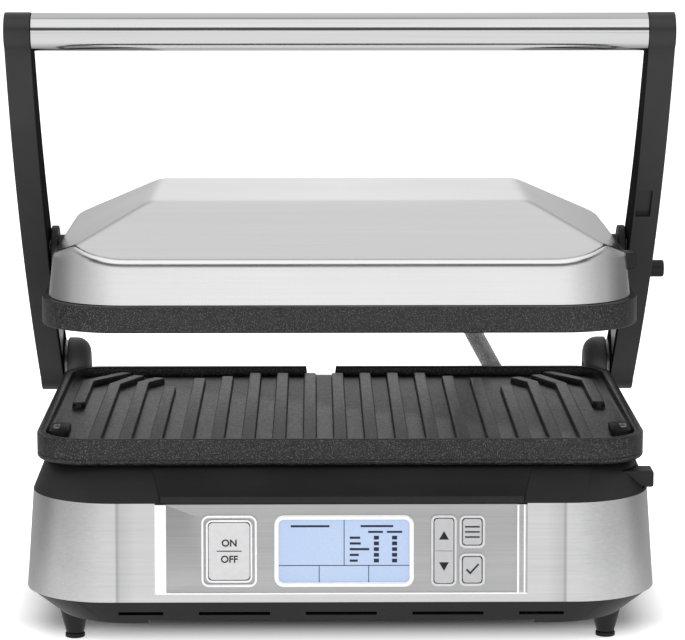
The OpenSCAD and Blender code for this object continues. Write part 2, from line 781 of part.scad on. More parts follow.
// A short rib beside the others at each side, and the outer ribs' ends that turn inwards
side_rib_y0 = plate_d - 117;
side_rib_back = 36;
turn_ends = [[22, 31], [13, 31], [9.5, 16]]; // how far each turned end goes inwards and back
module corner_ribs() {
    side_x = ((rib_count - 1) / 2 + 1) * rib_pitch;
    side_end = plate_d - plate_rim_t - side_rib_back;
    mirrored() {
        floor_rib(side_x, side_rib_y0, 0, side_end - side_rib_y0);
        for (i = [0 : 2]) {
            y = i == 0 ? side_end : rib_end(i - 1);
            floor_rib(side_x - i * rib_pitch, y - 1, atan(turn_ends[i][0] / turn_ends[i][1]),
                norm(turn_ends[i]));
        }
    }
}

module plate_body(front_r) {
    difference() {
        slab(plate_hw, 0, plate_d, front_r, plate_rear_r, 0, plate_h);
        plate_pocket(front_r);
        // channel that leads the fat to the drain
        block([notch_x0, plate_d - plate_rim_t - 2, floor_rear],
            [notch_x1, plate_d + 1, plate_h + 1]);
    }
    ribs();
    corner_ribs();
}

module lower_plate() color([0.2, 0.2, 0.2]) translate([0, plate_y0, plate_z0]) plate_body(plate_r);

// The upper plate is the same casting turned over, with rounder front corners
module upper_plate() color([0.2, 0.2, 0.2])
    translate([0, lid_y0, upper_z1]) mirror([0, 0, 1]) plate_body(lid_corner_r);

// ---------------------------------------------------------------- arms and handle

// Both edges of an arm, as (Y, Z) control points from the handle down to the hinge
function arm_front_curve() = [
    [handle_y - 10, handle_z], [handle_y + 26, handle_z - 76],
    [hinge_y - 114, hinge_z + 70], [hinge_y - 5, hinge_z - hinge_r + 0.8]
];
function arm_rear_curve() = [
    [handle_y + 10, handle_z + 3], [handle_y + 50, handle_z - 68],
    [hinge_y - 88, hinge_z + 86], [hinge_y + hinge_r * 0.66, hinge_z + hinge_r * 0.75]
];
arm_steps = 14;

module arm_outline() {
    polygon(concat(
        [for (i = [0 : arm_steps]) bezier(arm_front_curve(), i / arm_steps)],
        [for (i = [arm_steps : -1 : 0]) bezier(arm_rear_curve(), i / arm_steps)]
    ));
    translate([handle_y, handle_z]) circle(handle_r + 0.3);
    translate([hinge_y, hinge_z]) circle(hinge_r);
}

// A strip along the middle of the arm, between two stations, for the steel strap
function strap_edge(share, i) =
    let (t = 0.42 + 0.5 * i / 8)
    (1 - share) * bezier(arm_front_curve(), t) + share * bezier(arm_rear_curve(), t);

module strap_outline(gap) {
    offset(delta = gap) polygon(concat(
        [for (i = [0 : 8]) strap_edge(0.2, i)],
        [for (i = [8 : -1 : 0]) strap_edge(0.8, i)]
    ));
}

strap_t = 2;
bolt_r = pin_r;
bolt_head_r = 6.5;
cover_side_x = plate_hw - cover_in - 2;
bolt_x0 = cover_side_x - 14;

module upright(x0, x1) {
    translate([x0, 0, 0]) rotate([90, 0, 90]) linear_extrude(x1 - x0) children();
}

lever_at = 0.685;                 // station of the hinge lever along the arm
lever_y = (bezier(arm_front_curve(), lever_at)[0] + bezier(arm_rear_curve(), lever_at)[0]) / 2;
lever_z = (bezier(arm_front_curve(), lever_at)[1] + bezier(arm_rear_curve(), lever_at)[1]) / 2;
lever_slope = 45;
lever_travel = 5;
lever_r = 3;
lever_gap = 0.4;

module arm_body() {
    difference() {
        upright(arm_x0, arm_x1) arm_outline();
        upright(arm_x0 - 1, arm_x0 + strap_t) strap_outline(0.1);
        rod_x(arm_x0 - 1, arm_x1 - 3, pin_r + run_gap, hinge_y, hinge_z);
        rod_x(arm_x0 - 1, arm_x1 - 4, bolt_r, pivot_y, pivot_z);
        // socket for the handle's inner rod
        rod_x(arm_x0 - 1, arm_x1 - 4, rod_r + 0.1, handle_y, handle_z);
        children();
    }
}

rod_r = 4;

module left_arm() color([0.2, 0.2, 0.21]) mirror([1, 0, 0]) arm_body();

// A shallow recess in the right arm's front edge
recess_at = 0.45;                 // its station along the arm
recess_mid = bezier(arm_front_curve(), recess_at);
recess_way = bezier(arm_front_curve(), recess_at + 0.02) - recess_mid;
recess_half = 10.5;

module right_arm() color([0.2, 0.2, 0.21]) arm_body() {
    translate([0, recess_mid[0], recess_mid[1]])
        rotate([atan2(recess_way[1], recess_way[0]), 0, 0])
            block([arm_x0 + 1.2, -recess_half, -6], [arm_x0 + 9.4, recess_half, 2.5]);
    // slot for the hinge lever's stem
    translate([0, lever_y, lever_z]) rotate([-lever_slope, 0, 0]) {
        rod_x(arm_x0 + strap_t + 1, arm_x1 + 1, lever_r + lever_gap, 0, 0);
        rod_x(arm_x0 + strap_t + 1, arm_x1 + 1, lever_r + lever_gap, lever_travel, 0);
        block([arm_x0 + strap_t + 1, 0, -lever_r - lever_gap],
            [arm_x1 + 1, lever_travel, lever_r + lever_gap]);
    }
}

module hinge_lever() color([0.12, 0.12, 0.13])
    translate([0, lever_y, lever_z]) rotate([-lever_slope, 0, 0]) {
        rod_x(arm_x0 + strap_t + 2, arm_x1 + 1, lever_r, 0, 0);
        rod_x(arm_x1 + 0.5, arm_x1 + 9.5, 5, 0, 0);
    }

module arm_straps() color([0.7, 0.7, 0.71]) mirrored() difference() {
    upright(arm_x0, arm_x0 + strap_t) strap_outline(0);
    rod_x(arm_x0 - 1, arm_x0 + 5, bolt_r + 0.1, pivot_y, pivot_z);
}

handle_hw = arm_x0 - 0.2;

module handle_tube() color([0.8, 0.8, 0.81]) difference() {
    rod_x(-handle_hw, handle_hw, handle_r, handle_y, handle_z);
    rod_x(-handle_hw - 1, handle_hw + 1, handle_r - handle_wall, handle_y, handle_z);
}

module handle_rod() color([0.5, 0.5, 0.5])
    rod_x(-(arm_x1 - 5), arm_x1 - 5, rod_r, handle_y, handle_z);

// Plastic plugs that centre the tube on the rod
module handle_caps() color([0.15, 0.15, 0.16]) mirrored() difference() {
    rod_x(handle_hw - 16, handle_hw, handle_r - handle_wall - 0.1, handle_y, handle_z);
    rod_x(handle_hw - 20, handle_hw + 1, rod_r + 0.1, handle_y, handle_z);
}

bush_r = 5.4;
boss_r_in = 7;                    // the bracket's boss where it passes through the lid's side
collar_r = 12.3;                  // its collar between the lid's side and the arm
bush_x1 = arm_x0 - 0.4;

module pivot_bolts() color([0.62, 0.62, 0.64]) mirrored() {
    rod_x(bolt_x0, arm_x1 - 4.5, bolt_r, pivot_y, pivot_z);
    rod_x(bolt_x0 - 4, bolt_x0, bolt_head_r, pivot_y, pivot_z);
}

module pivot_bushes() color([0.85, 0.85, 0.82]) mirrored() difference() {
    union() {
        rod_x(bolt_x0 + 2, bush_x1, bush_r, pivot_y, pivot_z);
        rod_x(bolt_x0 + 0.4, bolt_x0 + 2, bush_r + 2, pivot_y, pivot_z);
    }
    rod_x(bolt_x0 - 1, arm_x0, bolt_r + run_gap, pivot_y, pivot_z);
}

// ---------------------------------------------------------------- lid

cover_hw = plate_hw - cover_in;
cover_y0 = lid_y0 + cover_in;
cover_y1 = lid_y1 - cover_in;
eave_in = 2.5;                    // how far the lid's walls lean in up to the eave

cover_rear_r = plate_rear_r - cover_in;

// A thin slice of the lid's walls, drawn in by a given amount
module cover_slice(inset, z) {
    slab(cover_hw - inset, cover_y0 + inset, cover_y1 - inset, lid_corner_r - inset,
        cover_rear_r - inset, z, z + eps, $fn = 64);
}

module cover_walls(inset) {
    hull() {
        cover_slice(inset, cover_z0);
        cover_slice(inset + eave_in, eave_z);
        cover_slice(inset + eave_in + 2, top_z - eps);
    }
}

// The four roof slopes, as a solid below them
module roof(inset) {
    half_w = cover_hw - eave_in;
    half_d = (cover_y1 - cover_y0) / 2 - eave_in;
    low = cover_z0 - 5;
    slope_w = (half_w - top_w / 2) / roof_h;
    slope_d = (half_d - top_d / 2) / roof_h;
    drop = eave_z - low;
    intersection() {
        translate([0, lid_y + half_d * 2, 0]) rotate([90, 0, 0]) linear_extrude(half_d * 4)
            polygon([
                [-half_w - slope_w * drop, low - inset], [half_w + slope_w * drop, low - inset],
                [top_w / 2, top_z - inset], [-top_w / 2, top_z - inset]
            ]);
        upright(-half_w * 2, half_w * 2) polygon([
            [lid_y - half_d - slope_d * drop, low - inset],
            [lid_y + half_d + slope_d * drop, low - inset],
            [lid_y + top_d / 2, top_z - inset], [lid_y - top_d / 2, top_z - inset]
        ]);
    }
}

upper_release_z0 = eave_z - 11;
upper_release_z1 = eave_z - 2;
upper_release_y0 = lid_y0 + 50;
upper_release_y1 = lid_y0 + 66;
lid_gland_x = 50;
lid_gland_z = eave_z - 12;

module lid_cover() color([0.78, 0.78, 0.79]) difference() {
    intersection() {
        cover_walls(0);
        roof(0);
    }
    intersection() {
        translate([0, 0, -1]) cover_walls(lid_t);
        roof(lid_t * 1.1);
    }
    block([-cover_hw * 2, lid_y0 - 5, cover_z0 - 10], [cover_hw * 2, lid_y1 + 5, cover_z0]);
    mirrored() rod_x(cover_hw - 8, cover_hw + 5, boss_r_in + 0.15, pivot_y, pivot_z);
    block([cover_hw - 12, upper_release_y0 - release_gap, upper_release_z0 - release_gap],
        [cover_hw + 9, upper_release_y1 + release_gap, upper_release_z1 + release_gap]);
    rod_y(cover_y1 - 10, cover_y1 + 5, gland_r + 0.1, lid_gland_x, lid_gland_z);
}

frame_z1 = cover_z0 + 2.4;
frame_gap = 0.6;
frame_hw = cover_hw - lid_t - frame_gap;
frame_open_hw = plate_hw - 34;
frame_open_in = 30;

module lid_frame() color([0.15, 0.15, 0.15]) difference() {
    slab(frame_hw, cover_y0 + lid_t + frame_gap, cover_y1 - lid_t - frame_gap,
        lid_corner_r - lid_t, cover_rear_r - lid_t, cover_z0, frame_z1);
    slab(frame_open_hw, lid_y0 + frame_open_in, lid_y1 - frame_open_in, 20, 20,
        cover_z0 - 1, frame_z1 + 1);
    lid_screw_places() translate([0, 0, cover_z0 - 1]) cylinder(h = 10, r = screw_r);
}

module lid_screw_places() {
    for (side = [-1, 1], way = [-1, 1])
        translate([side * (frame_hw - 13), lid_y + way * heater_half_d, 0]) children();
}

module lid_screws() color([0.6, 0.6, 0.62]) lid_screw_places() {
    translate([0, 0, cover_z0 + 0.3]) cylinder(h = 12, r = screw_r - 0.05);
    translate([0, 0, frame_z1]) cylinder(h = 2, r = 4);
}

bracket_x0 = bolt_x0 + 2.3;

module pivot_brackets() color([0.18, 0.18, 0.19]) mirrored() difference() {
    union() {
        rod_x(bracket_x0, bush_x1 - 0.8, boss_r_in, pivot_y, pivot_z);
        rod_x(cover_hw + 0.3, bush_x1 - 0.8, collar_r, pivot_y, pivot_z);
        block([bracket_x0, pivot_y - 16, frame_z1], [cover_side_x - 5, pivot_y + 16, pivot_z]);
        block([bracket_x0 - 5, pivot_y - 16, frame_z1], [cover_side_x - 5, pivot_y + 16, frame_z1 + 3]);
    }
    rod_x(bracket_x0 - 1, arm_x0, bush_r + run_gap, pivot_y, pivot_z);
    rod_x(bolt_x0 - 6, bracket_x0, bush_r + 3, pivot_y, pivot_z);
}

upper_heater_z = upper_z1 + 0.4 + heater_r;
upper_reflector_z = upper_heater_z + heater_r + 1;

module upper_heater() color([0.45, 0.44, 0.43]) heater_loop(lid_y, upper_heater_z, 14);

module upper_reflector() color([0.72, 0.72, 0.73]) difference() {
    union() {
        slab(frame_open_hw - 2, lid_y0 + frame_open_in + 2, lid_y1 - frame_open_in - 2, 18, 18,
            upper_z1 + 2, upper_reflector_z + reflector_t);
        // flange on the frame's top
        slab(frame_open_hw + 5, lid_y0 + frame_open_in - 5, lid_y1 - frame_open_in + 5, 25, 25,
            frame_z1, frame_z1 + reflector_t);
    }
    slab(frame_open_hw - 2 - reflector_t, lid_y0 + frame_open_in + 2 + reflector_t,
        lid_y1 - frame_open_in - 2 - reflector_t, 17, 17, upper_z1, upper_reflector_z);
    for (side = [-1, 1])
        translate([side * (heater_leg_x + 1.6), lid_y - heater_half_d, upper_reflector_z - 3])
            cylinder(h = 10, r = heater_r + 2.6);
}

insulation_t = 9;
insulation_hw = frame_open_hw - 16;
insulation_y0 = lid_y - heater_half_d + 8;
insulation_y1 = lid_y + heater_half_d + 6;

module lid_insulation() color([0.85, 0.83, 0.76]) difference() {
    block([-insulation_hw, insulation_y0, upper_reflector_z + reflector_t],
        [insulation_hw, insulation_y1, upper_reflector_z + reflector_t + insulation_t]);
    translate([0, lid_y, upper_reflector_z]) cylinder(h = 20, r = sensor_r + 1);
}

module upper_sensor() color([0.7, 0.7, 0.68])
    translate([0, lid_y, upper_reflector_z + reflector_t]) cylinder(h = 12, r = sensor_r);

module upper_release_button() color([0.14, 0.14, 0.15])
    block([cover_hw - 10, upper_release_y0, upper_release_z0],
        [plate_hw + 1, upper_release_y1, upper_release_z1]);

module conduit_gland_lid() color([0.12, 0.12, 0.13]) difference() {
    rod_y(cover_y1 - 8, cover_y1 + 10, gland_r, lid_gland_x, lid_gland_z);
    rod_y(cover_y1 - 9, cover_y1 + 11, conduit_d / 2 + 0.1, lid_gland_x, lid_gland_z);
}

// The conduit leaves the base along its gland, leans out behind the plates and enters the
// lid's rear wall
conduit_rings = 18;
gland_way = [
    -cos(gland_lean_y) * sin(gland_lean_x), sin(gland_lean_y),
    cos(gland_lean_y) * cos(gland_lean_x)
];
gland_foot = [gland_x, gland_y, gland_z];
conduit_start = gland_foot + 9 * gland_way;
conduit_end = [lid_gland_x, cover_y1 + 11, lid_gland_z];
conduit_curve = [
    conduit_start, conduit_start + 45 * gland_way,
    conduit_end + [2, 36, -5], conduit_end
];

module lid_conduit() color([0.66, 0.66, 0.68]) swept_tube(
    concat(
        [gland_foot - 11 * gland_way],
        [for (i = [0 : conduit_rings]) bezier(conduit_curve, i / conduit_rings)],
        [conduit_end - [0, 14, 0]]
    ), conduit_d / 2, 12);

// ---------------------------------------------------------------- the parts by name

base_pan();
base_shell();
front_band();
control_panel();
panel_rings();
display_frame();
display_module();
display_lens();
power_button();
arrow_rocker();
menu_button();
confirm_button();
control_board();
power_board();
feet();
foot_pads();
base_screws();
hinge_tower_left();
hinge_tower_right();
hinge_pins();
hinge_discs();
lower_reflector();
lower_heater();
lower_sensor();
plate_clips();
lower_release_button();
drip_tray();
power_inlet();
conduit_gland_base();
conduit_gland_lid();
lid_conduit();
lower_plate();
left_arm();
right_arm();
arm_straps();
handle_tube();
handle_rod();
handle_caps();
hinge_lever();
pivot_bolts();
pivot_bushes();
lid_cover();
lid_frame();
pivot_brackets();
upper_heater();
upper_reflector();
lid_insulation();
upper_sensor();
lid_screws();
upper_release_button();
upper_plate();
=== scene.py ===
"""Looks of the electric indoor grill with lid. Lengths in the mesh code are millimetres."""

import json
import math

import bmesh
import bpy
import numpy as np
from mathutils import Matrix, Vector


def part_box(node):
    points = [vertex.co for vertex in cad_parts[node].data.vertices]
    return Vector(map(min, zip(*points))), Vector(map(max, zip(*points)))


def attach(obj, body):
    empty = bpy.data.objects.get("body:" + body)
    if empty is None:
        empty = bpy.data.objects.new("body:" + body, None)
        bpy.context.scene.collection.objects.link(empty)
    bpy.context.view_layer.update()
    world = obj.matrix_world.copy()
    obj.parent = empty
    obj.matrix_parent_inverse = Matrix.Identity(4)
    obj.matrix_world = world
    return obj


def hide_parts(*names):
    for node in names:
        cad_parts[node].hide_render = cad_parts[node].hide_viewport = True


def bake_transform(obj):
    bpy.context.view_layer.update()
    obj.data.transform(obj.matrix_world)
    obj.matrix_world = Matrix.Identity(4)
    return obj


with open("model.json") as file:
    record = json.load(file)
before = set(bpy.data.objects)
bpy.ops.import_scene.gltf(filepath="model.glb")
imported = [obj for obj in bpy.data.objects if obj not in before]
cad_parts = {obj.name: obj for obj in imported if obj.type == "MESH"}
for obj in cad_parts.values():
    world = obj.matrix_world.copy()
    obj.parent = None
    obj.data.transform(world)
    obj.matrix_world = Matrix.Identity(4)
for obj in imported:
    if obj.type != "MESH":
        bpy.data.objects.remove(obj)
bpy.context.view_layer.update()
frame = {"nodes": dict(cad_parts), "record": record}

MM = 0.001
BODY_OF = {n: b for b, ns in frame["record"]["behaviour"]["bodies"].items() for n in ns}


def box_mm(node):
    """Lowest and highest corner of a CAD node, in millimetres."""
    low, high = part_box(node)
    return np.array(low) / MM, np.array(high) / MM


def linear(r, g, b):
    """A colour given as 0 to 255 in sRGB, as linear values."""
    return tuple(((c / 255 + 0.055) / 1.055) ** 2.4 if c > 10 else c / 255 / 12.92 for c in (r, g, b)) + (1,)


# ---------------------------------------------------------------- materials


class Nodes:
    """A small helper that adds shader nodes to a material's tree."""

    def __init__(self, name):
        self.material = bpy.data.materials.new(name)
        self.material.use_nodes = True
        self.tree = self.material.node_tree
        self.shader = self.tree.nodes["Principled BSDF"]
        self.coords = self.add("ShaderNodeTexCoord").outputs["Object"]

    def add(self, kind, **settings):
        node = self.tree.nodes.new(kind)
        for key, value in settings.items():
            setattr(node, key, value)
        return node

    def link(self, source, target):
        self.tree.links.new(source, target)

    def scaled(self, scale, source=None):
        """Object coordinates, in metres, scaled per axis."""
        mapping = self.add("ShaderNodeMapping")
        self.link(source or self.coords, mapping.inputs["Vector"])
        mapping.inputs["Scale"].default_value = scale
        return mapping.outputs["Vector"]

    def noise(self, vector, scale, detail=2.0, rough=0.5):
        node = self.add("ShaderNodeTexNoise")
        self.link(vector, node.inputs["Vector"])
        node.inputs["Scale"].default_value = scale
        node.inputs["Detail"].default_value = detail
        node.inputs["Roughness"].default_value = rough
        return node.outputs["Fac"]

    def ramp(self, factor, *stops):
        """A colour ramp through (place, colour) stops."""
        node = self.add("ShaderNodeValToRGB")
        for place, _ in stops[1:-1]:
            node.color_ramp.elements.new(place)
        for element, (place, colour) in zip(node.color_ramp.elements, stops):
            element.position = place
            element.color = colour if hasattr(colour, "__len__") else (colour, colour, colour, 1)
        self.link(factor, node.inputs["Fac"])
        return node.outputs["Color"]

    def bump(self, height, distance, strength=1.0):
        node = self.add("ShaderNodeBump")
        node.inputs["Distance"].default_value = distance
        node.inputs["Strength"].default_value = strength
        self.link(height, node.inputs["Height"])
        return node.outputs["Normal"]

    def axis(self, vector, name):
        """One axis of a vector."""
        node = self.add("ShaderNodeSeparateXYZ")
        self.link(vector, node.inputs[0])
        return node.outputs[name]

    def maths(self, operation, *sources):
        """A sum on sockets and plain numbers."""
        node = self.add("ShaderNodeMath", operation=operation)
        for source, socket in zip(sources, node.inputs):
            if isinstance(source, float):
                socket.default_value = source
            else:
                self.link(source, socket)
        return node.outputs[0]

    def level(self, source, from_min, from_max, to_min=0.0, to_max=1.0, **settings):
        """A value's place between two bounds, carried over to two others."""
        node = self.add("ShaderNodeMapRange", **settings)
        self.link(source, node.inputs["Value"])
        bounds = (from_min, from_max, to_min, to_max)
        for key, value in zip(("From Min", "From Max", "To Min", "To Max"), bounds):
            node.inputs[key].default_value = value
        return node.outputs["Result"]

    def set(self, **values):
        for key, value in values.items():
            self.shader.inputs[key.replace("_", " ")].default_value = value

    def into(self, key, socket):
        self.link(socket, self.shader.inputs[key])


def shades(colour, spread):
    """A colour a little darker and a little lighter."""
    return (tuple(c * f for c in colour[:3]) + (1,) for f in (1 - spread, 1 + spread))


# half the width of the painted shade along a crease, in metres
CREASE_SHADE_REACH = 0.01


def brushed_metal(name, shade, rough, grain=(6, 900, 900), depth=0.00004, spread=0.08, crease=None):
    """Metal with fine parallel scratches: grain gives the noise scale along X, Y and Z, and crease
    the distance from the middle at which a soft line of painted shade runs up both sides."""
    m = Nodes(name)
    fine = m.noise(m.scaled(grain), 1.0, 3.0, 0.6)
    broad = m.noise(m.scaled((grain[0] / 3, grain[1] / 12, grain[2] / 12)), 1.0, 2.0)
    cloud = m.noise(m.scaled((14, 14, 14)), 1.0, 2.0)
    low, high = shades(shade, spread)
    mix = m.add("ShaderNodeMix", data_type="FLOAT")
    mix.inputs[0].default_value = 0.4
    m.link(fine, mix.inputs[2])
    m.link(broad, mix.inputs[3])
    colour = m.ramp(mix.outputs[0], (0.35, low), (0.65, high))
    # painted shade: a soft dark line multiplied into the colour at the creases, in place of the dimmer reflection
    # there
    if crease:
        aside = m.maths("ABSOLUTE", m.axis(m.coords, "X"))
        offset = m.level(aside, crease - CREASE_SHADE_REACH, crease + CREASE_SHADE_REACH)
        line = m.ramp(offset, (0.0, 1.0), (0.42, 0.86), (0.5, 0.62), (0.56, 1.0), (1.0, 1.0))
        shaded = m.add("ShaderNodeMix", data_type="RGBA", blend_type="MULTIPLY")
        shaded.inputs[0].default_value = 1.0
        m.link(colour, shaded.inputs[6])
        m.link(line, shaded.inputs[7])
        colour = shaded.outputs[2]
    m.into("Base Color", colour)
    m.into("Roughness", m.ramp(cloud, (0.3, rough * 0.9), (0.7, rough * 1.12)))
    m.into("Normal", m.bump(fine, depth))
    m.set(Metallic=1.0, Anisotropic=0.35)
    return m.material


def moulded_plastic(name, colour, rough=0.42, grain=1400, depth=0.00003, shine=0.3):
    """Moulded plastic with a fine spark-eroded grain and slight wear in its gloss."""
    m = Nodes(name)
    grains = m.noise(m.scaled((grain,) * 3), 1.0, 2.0, 0.6)
    cloud = m.noise(m.scaled((22,) * 3), 1.0, 3.0)
    darker, lighter = shades(colour, 0.12)
    m.into("Base Color", m.ramp(cloud, (0.3, darker), (0.7, lighter)))
    m.into("Roughness", m.ramp(cloud, (0.3, rough - 0.05), (0.7, rough + 0.06)))
    m.into("Normal", m.bump(grains, depth))
    m.set(Specular_IOR_Level=shine)
    return m.material


def arm_moulding(name):
    """The arms' plastic: satin outside, with coarse matt texture on the faces towards the lid."""
    m = Nodes(name)
    normal = m.add("ShaderNodeTexCoord").outputs["Normal"]
    outward = m.maths("MULTIPLY", m.axis(normal, "X"), m.maths("SIGN", m.axis(m.coords, "X")))
    grains = m.noise(m.scaled((1300,) * 3), 1.0, 2.0, 0.6)
    cloud = m.noise(m.scaled((22,) * 3), 1.0, 3.0)
    m.into("Base Color", m.ramp(cloud, (0.3, linear(28, 28, 29)), (0.7, linear(36, 36, 37))))
    for key, inner, outer in (("Specular IOR Level", 0.0, 0.4), ("Roughness", 0.9, 0.34)):
        m.into(key, m.level(outward, -0.95, -0.6, inner, outer))
    m.into("Normal", m.bump(grains, 0.00003))
    return m.material


def painted_strap(name):
    """Steel strap: bare at the hinge, painted black towards the lid's pivot."""
    m = Nodes(name)
    paint = m.level(m.axis(m.coords, "Z"), 0.166, 0.169)
    m.into("Base Color", m.ramp(paint, (0.0, linear(186, 186, 188)), (1.0, linear(22, 22, 23))))
    m.into("Metallic", m.ramp(paint, (0.0, 1.0), (1.0, 0.0)))
    m.into("Roughness", m.ramp(paint, (0.0, 0.34), (1.0, 0.85)))
    m.into("Specular IOR Level", m.ramp(paint, (0.0, 0.5), (1.0, 0.02)))
    m.into("Normal", m.bump(m.noise(m.scaled((900,) * 3), 1.0, 2.0), 0.00002))
    return m.material


def cast_coating(name):
    """Black non-stick coating on cast aluminium: pebbled, with a few pale specks."""
    m = Nodes(name)
    pebbles = m.noise(m.scaled((620,) * 3), 1.0, 3.0, 0.62)
    specks = m.noise(m.scaled((1700,) * 3), 1.0, 1.0, 0.4)
    cloud = m.noise(m.scaled((16,) * 3), 1.0, 2.0)
    base = m.ramp(cloud, (0.3, linear(13, 13, 14)), (0.7, linear(19, 19, 20)))
    pale = m.add("ShaderNodeMix", data_type="RGBA")
    m.link(m.ramp(specks, (0.54, 0.0), (0.7, 1.0)), pale.inputs[0])
    m.link(base, pale.inputs[6])
    pale.inputs[7].default_value = linear(78, 78, 80)
    m.into("Base Color", pale.outputs[2])
    m.into("Roughness", m.ramp(pebbles, (0.3, 0.3), (0.7, 0.46)))
    m.into("Normal", m.bump(pebbles, 0.00012, 0.7))
    m.set(Specular_IOR_Level=0.42)
    return m.material


def satin_paint(name, colour, rough=0.35, metallic=0.0):
    m = Nodes(name)
    cloud = m.noise(m.scaled((300,) * 3), 1.0, 2.0)
    darker, lighter = shades(colour, 0.03)
    m.into("Base Color", m.ramp(cloud, (0.3, darker), (0.7, lighter)))
    m.into("Normal", m.bump(m.noise(m.scaled((1800,) * 3), 1.0), 0.00001))
    m.set(Roughness=rough, Metallic=metallic)
    return m.material


def lit_display(name):
    """Back-lit liquid crystal: pale blue, a little brighter towards the middle."""
    m = Nodes(name)
    low, high = box_mm("display_lens")
    middle = (low + high) / 2 * MM
    offset = m.add("ShaderNodeVectorMath", operation="SUBTRACT")
    m.link(m.coords, offset.inputs[0])
    offset.inputs[1].default_value = tuple(middle)
    reach = m.add("ShaderNodeVectorMath", operation="LENGTH")
    m.link(m.scaled((22, 22, 34), offset.outputs["Vector"]), reach.inputs[0])
    glow = m.ramp(reach.outputs["Value"], (0.1, linear(150, 166, 190)), (1.0, linear(146, 162, 190)))
    pixels = m.noise(m.scaled((2600,) * 3), 1.0, 0.0)
    m.into("Base Color", glow)
    m.into("Emission Color", glow)
    m.into("Roughness", m.ramp(pixels, (0.3, 0.22), (0.7, 0.3)))
    m.set(Emission_Strength=0.12, Coat_Weight=0.2, Coat_Roughness=0.1)
    return m.material


def woven_wire(name):
    m = Nodes(name)
    tarnish = m.noise(m.scaled((120,) * 3), 1.0, 3.0)
    m.into("Base Color", m.ramp(tarnish, (0.3, linear(196, 196, 197)), (0.7, linear(232, 232, 233))))
    m.set(Metallic=0.3, Roughness=0.4)
    return m.material


STEEL = linear(216, 216, 217)
lid_steel = brushed_metal("lid_steel", linear(238, 238, 238), 0.2, (5, 700, 700), 0.000012, 0.02)
# the band's steel carries painted shade in a soft line up both corner creases
band_steel = brushed_metal("band_steel", STEEL, 0.26, (5, 900, 900), 0.000012, 0.05, 0.1195)
panel_steel = brushed_metal("panel_steel", linear(194, 194, 195), 0.42, (5, 1000, 1000))
handle_steel = brushed_metal("handle_steel", STEEL, 0.1, (10, 1200, 1200), 0.00001, 0.04)
plain_steel = brushed_metal("plain_steel", linear(178, 178, 180), 0.38, (160, 160, 160))
black_plastic = moulded_plastic("black_plastic", linear(24, 24, 25))
arm_plastic = arm_moulding("arm_plastic")
# the hinge towers' black plastic, lightened to stand for its sheen: painted sheen
tower_plastic_painted_sheen = moulded_plastic("tower_plastic_painted_sheen", linear(80, 80, 81), 0.38, shine=0.4)
strap_steel = painted_strap("strap_steel")
gloss_black = moulded_plastic("gloss_black", linear(14, 14, 15), 0.5)
rubber = moulded_plastic("rubber", linear(30, 30, 30), 0.7, 900, 0.00005)
coating = cast_coating("coating")
ring_silver = satin_paint("ring_silver", linear(238, 238, 239), 0.3, 0.6)
button_silver = satin_paint("button_silver", linear(176, 176, 177), 0.42)
key_silver = satin_paint("key_silver", linear(158, 158, 160), 0.4)
print_black = satin_paint("print_black", linear(11, 11, 12), 0.6)
print_navy = satin_paint("print_navy", linear(16, 22, 44), 0.6)
display_blue = lit_display("display_blue")
braid = woven_wire("braid")
heater_metal = brushed_metal("heater_metal", linear(120, 112, 106), 0.5, (300, 300, 300))
reflector_metal = brushed_metal("reflector_metal", linear(214, 214, 216), 0.28, (40, 40, 40))
solder_mask = satin_paint("solder_mask", linear(28, 92, 52), 0.4)
fibre = moulded_plastic("fibre", linear(208, 202, 184), 0.9, 700, 0.0003)

SLOT_MATERIAL = {
    "black_plastic": black_plastic, "arm_plastic": arm_plastic, "brushed_steel": band_steel,
    "zinc_steel": plain_steel, "cast_plate": coating, "button_silver": button_silver,
    "ring_silver": ring_silver, "display_glass": display_blue, "display_blue": display_blue,
    "board_green": solder_mask, "rubber": rubber, "heater_metal": heater_metal,
    "reflector_metal": reflector_metal, "bush_plastic": gloss_black, "insulation": fibre,
    "braid": braid,
}
SLOT_OF = {s["node"]: s["material_slot"] for s in frame["record"]["subparts"]}
for node_name, node_object in frame["nodes"].items():
    node_object.data.materials.clear()
    node_object.data.materials.append(SLOT_MATERIAL[SLOT_OF[node_name]])

# ---------------------------------------------------------------- mesh helpers


def finish_mesh(mesh, material, smooth_deg=32):
    mesh.materials.clear()
    mesh.materials.append(material)
    mesh.shade_smooth()
    mesh.set_sharp_from_angle(angle=math.radians(smooth_deg))


def place(mesh, name, material, body, slot=None, smooth_deg=32):
    """An object from a finished mesh, riding on a body."""
    finish_mesh(mesh, material, smooth_deg)
    piece = bpy.data.objects.new(name, mesh)
    bpy.context.scene.collection.objects.link(piece)
    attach(piece, body)
    return piece


def mesh_from(name, points, faces):
    mesh = bpy.data.meshes.new(name)
    mesh.from_pydata([tuple(p) for p in np.asarray(points, float) * MM], [], faces)
    mesh.validate()
    return mesh


def outwards(mesh):
    """Turns a mesh's faces outwards."""
    work = bmesh.new()
    work.from_mesh(mesh)
    bmesh.ops.recalc_face_normals(work, faces=work.faces)
    work.to_mesh(mesh)
    work.free()
    return mesh


def bevelled(piece, width, segments=3):
    """Rounds a piece's edges by width, in millimetres."""
    modifier = piece.modifiers.new("round", "BEVEL")
    modifier.width = width * MM
    modifier.segments = segments
    modifier.limit_method = "ANGLE"
    modifier.angle_limit = math.radians(30)
    modifier.harden_normals = True
    modifier.miter_outer = "MITER_ARC"
    return piece


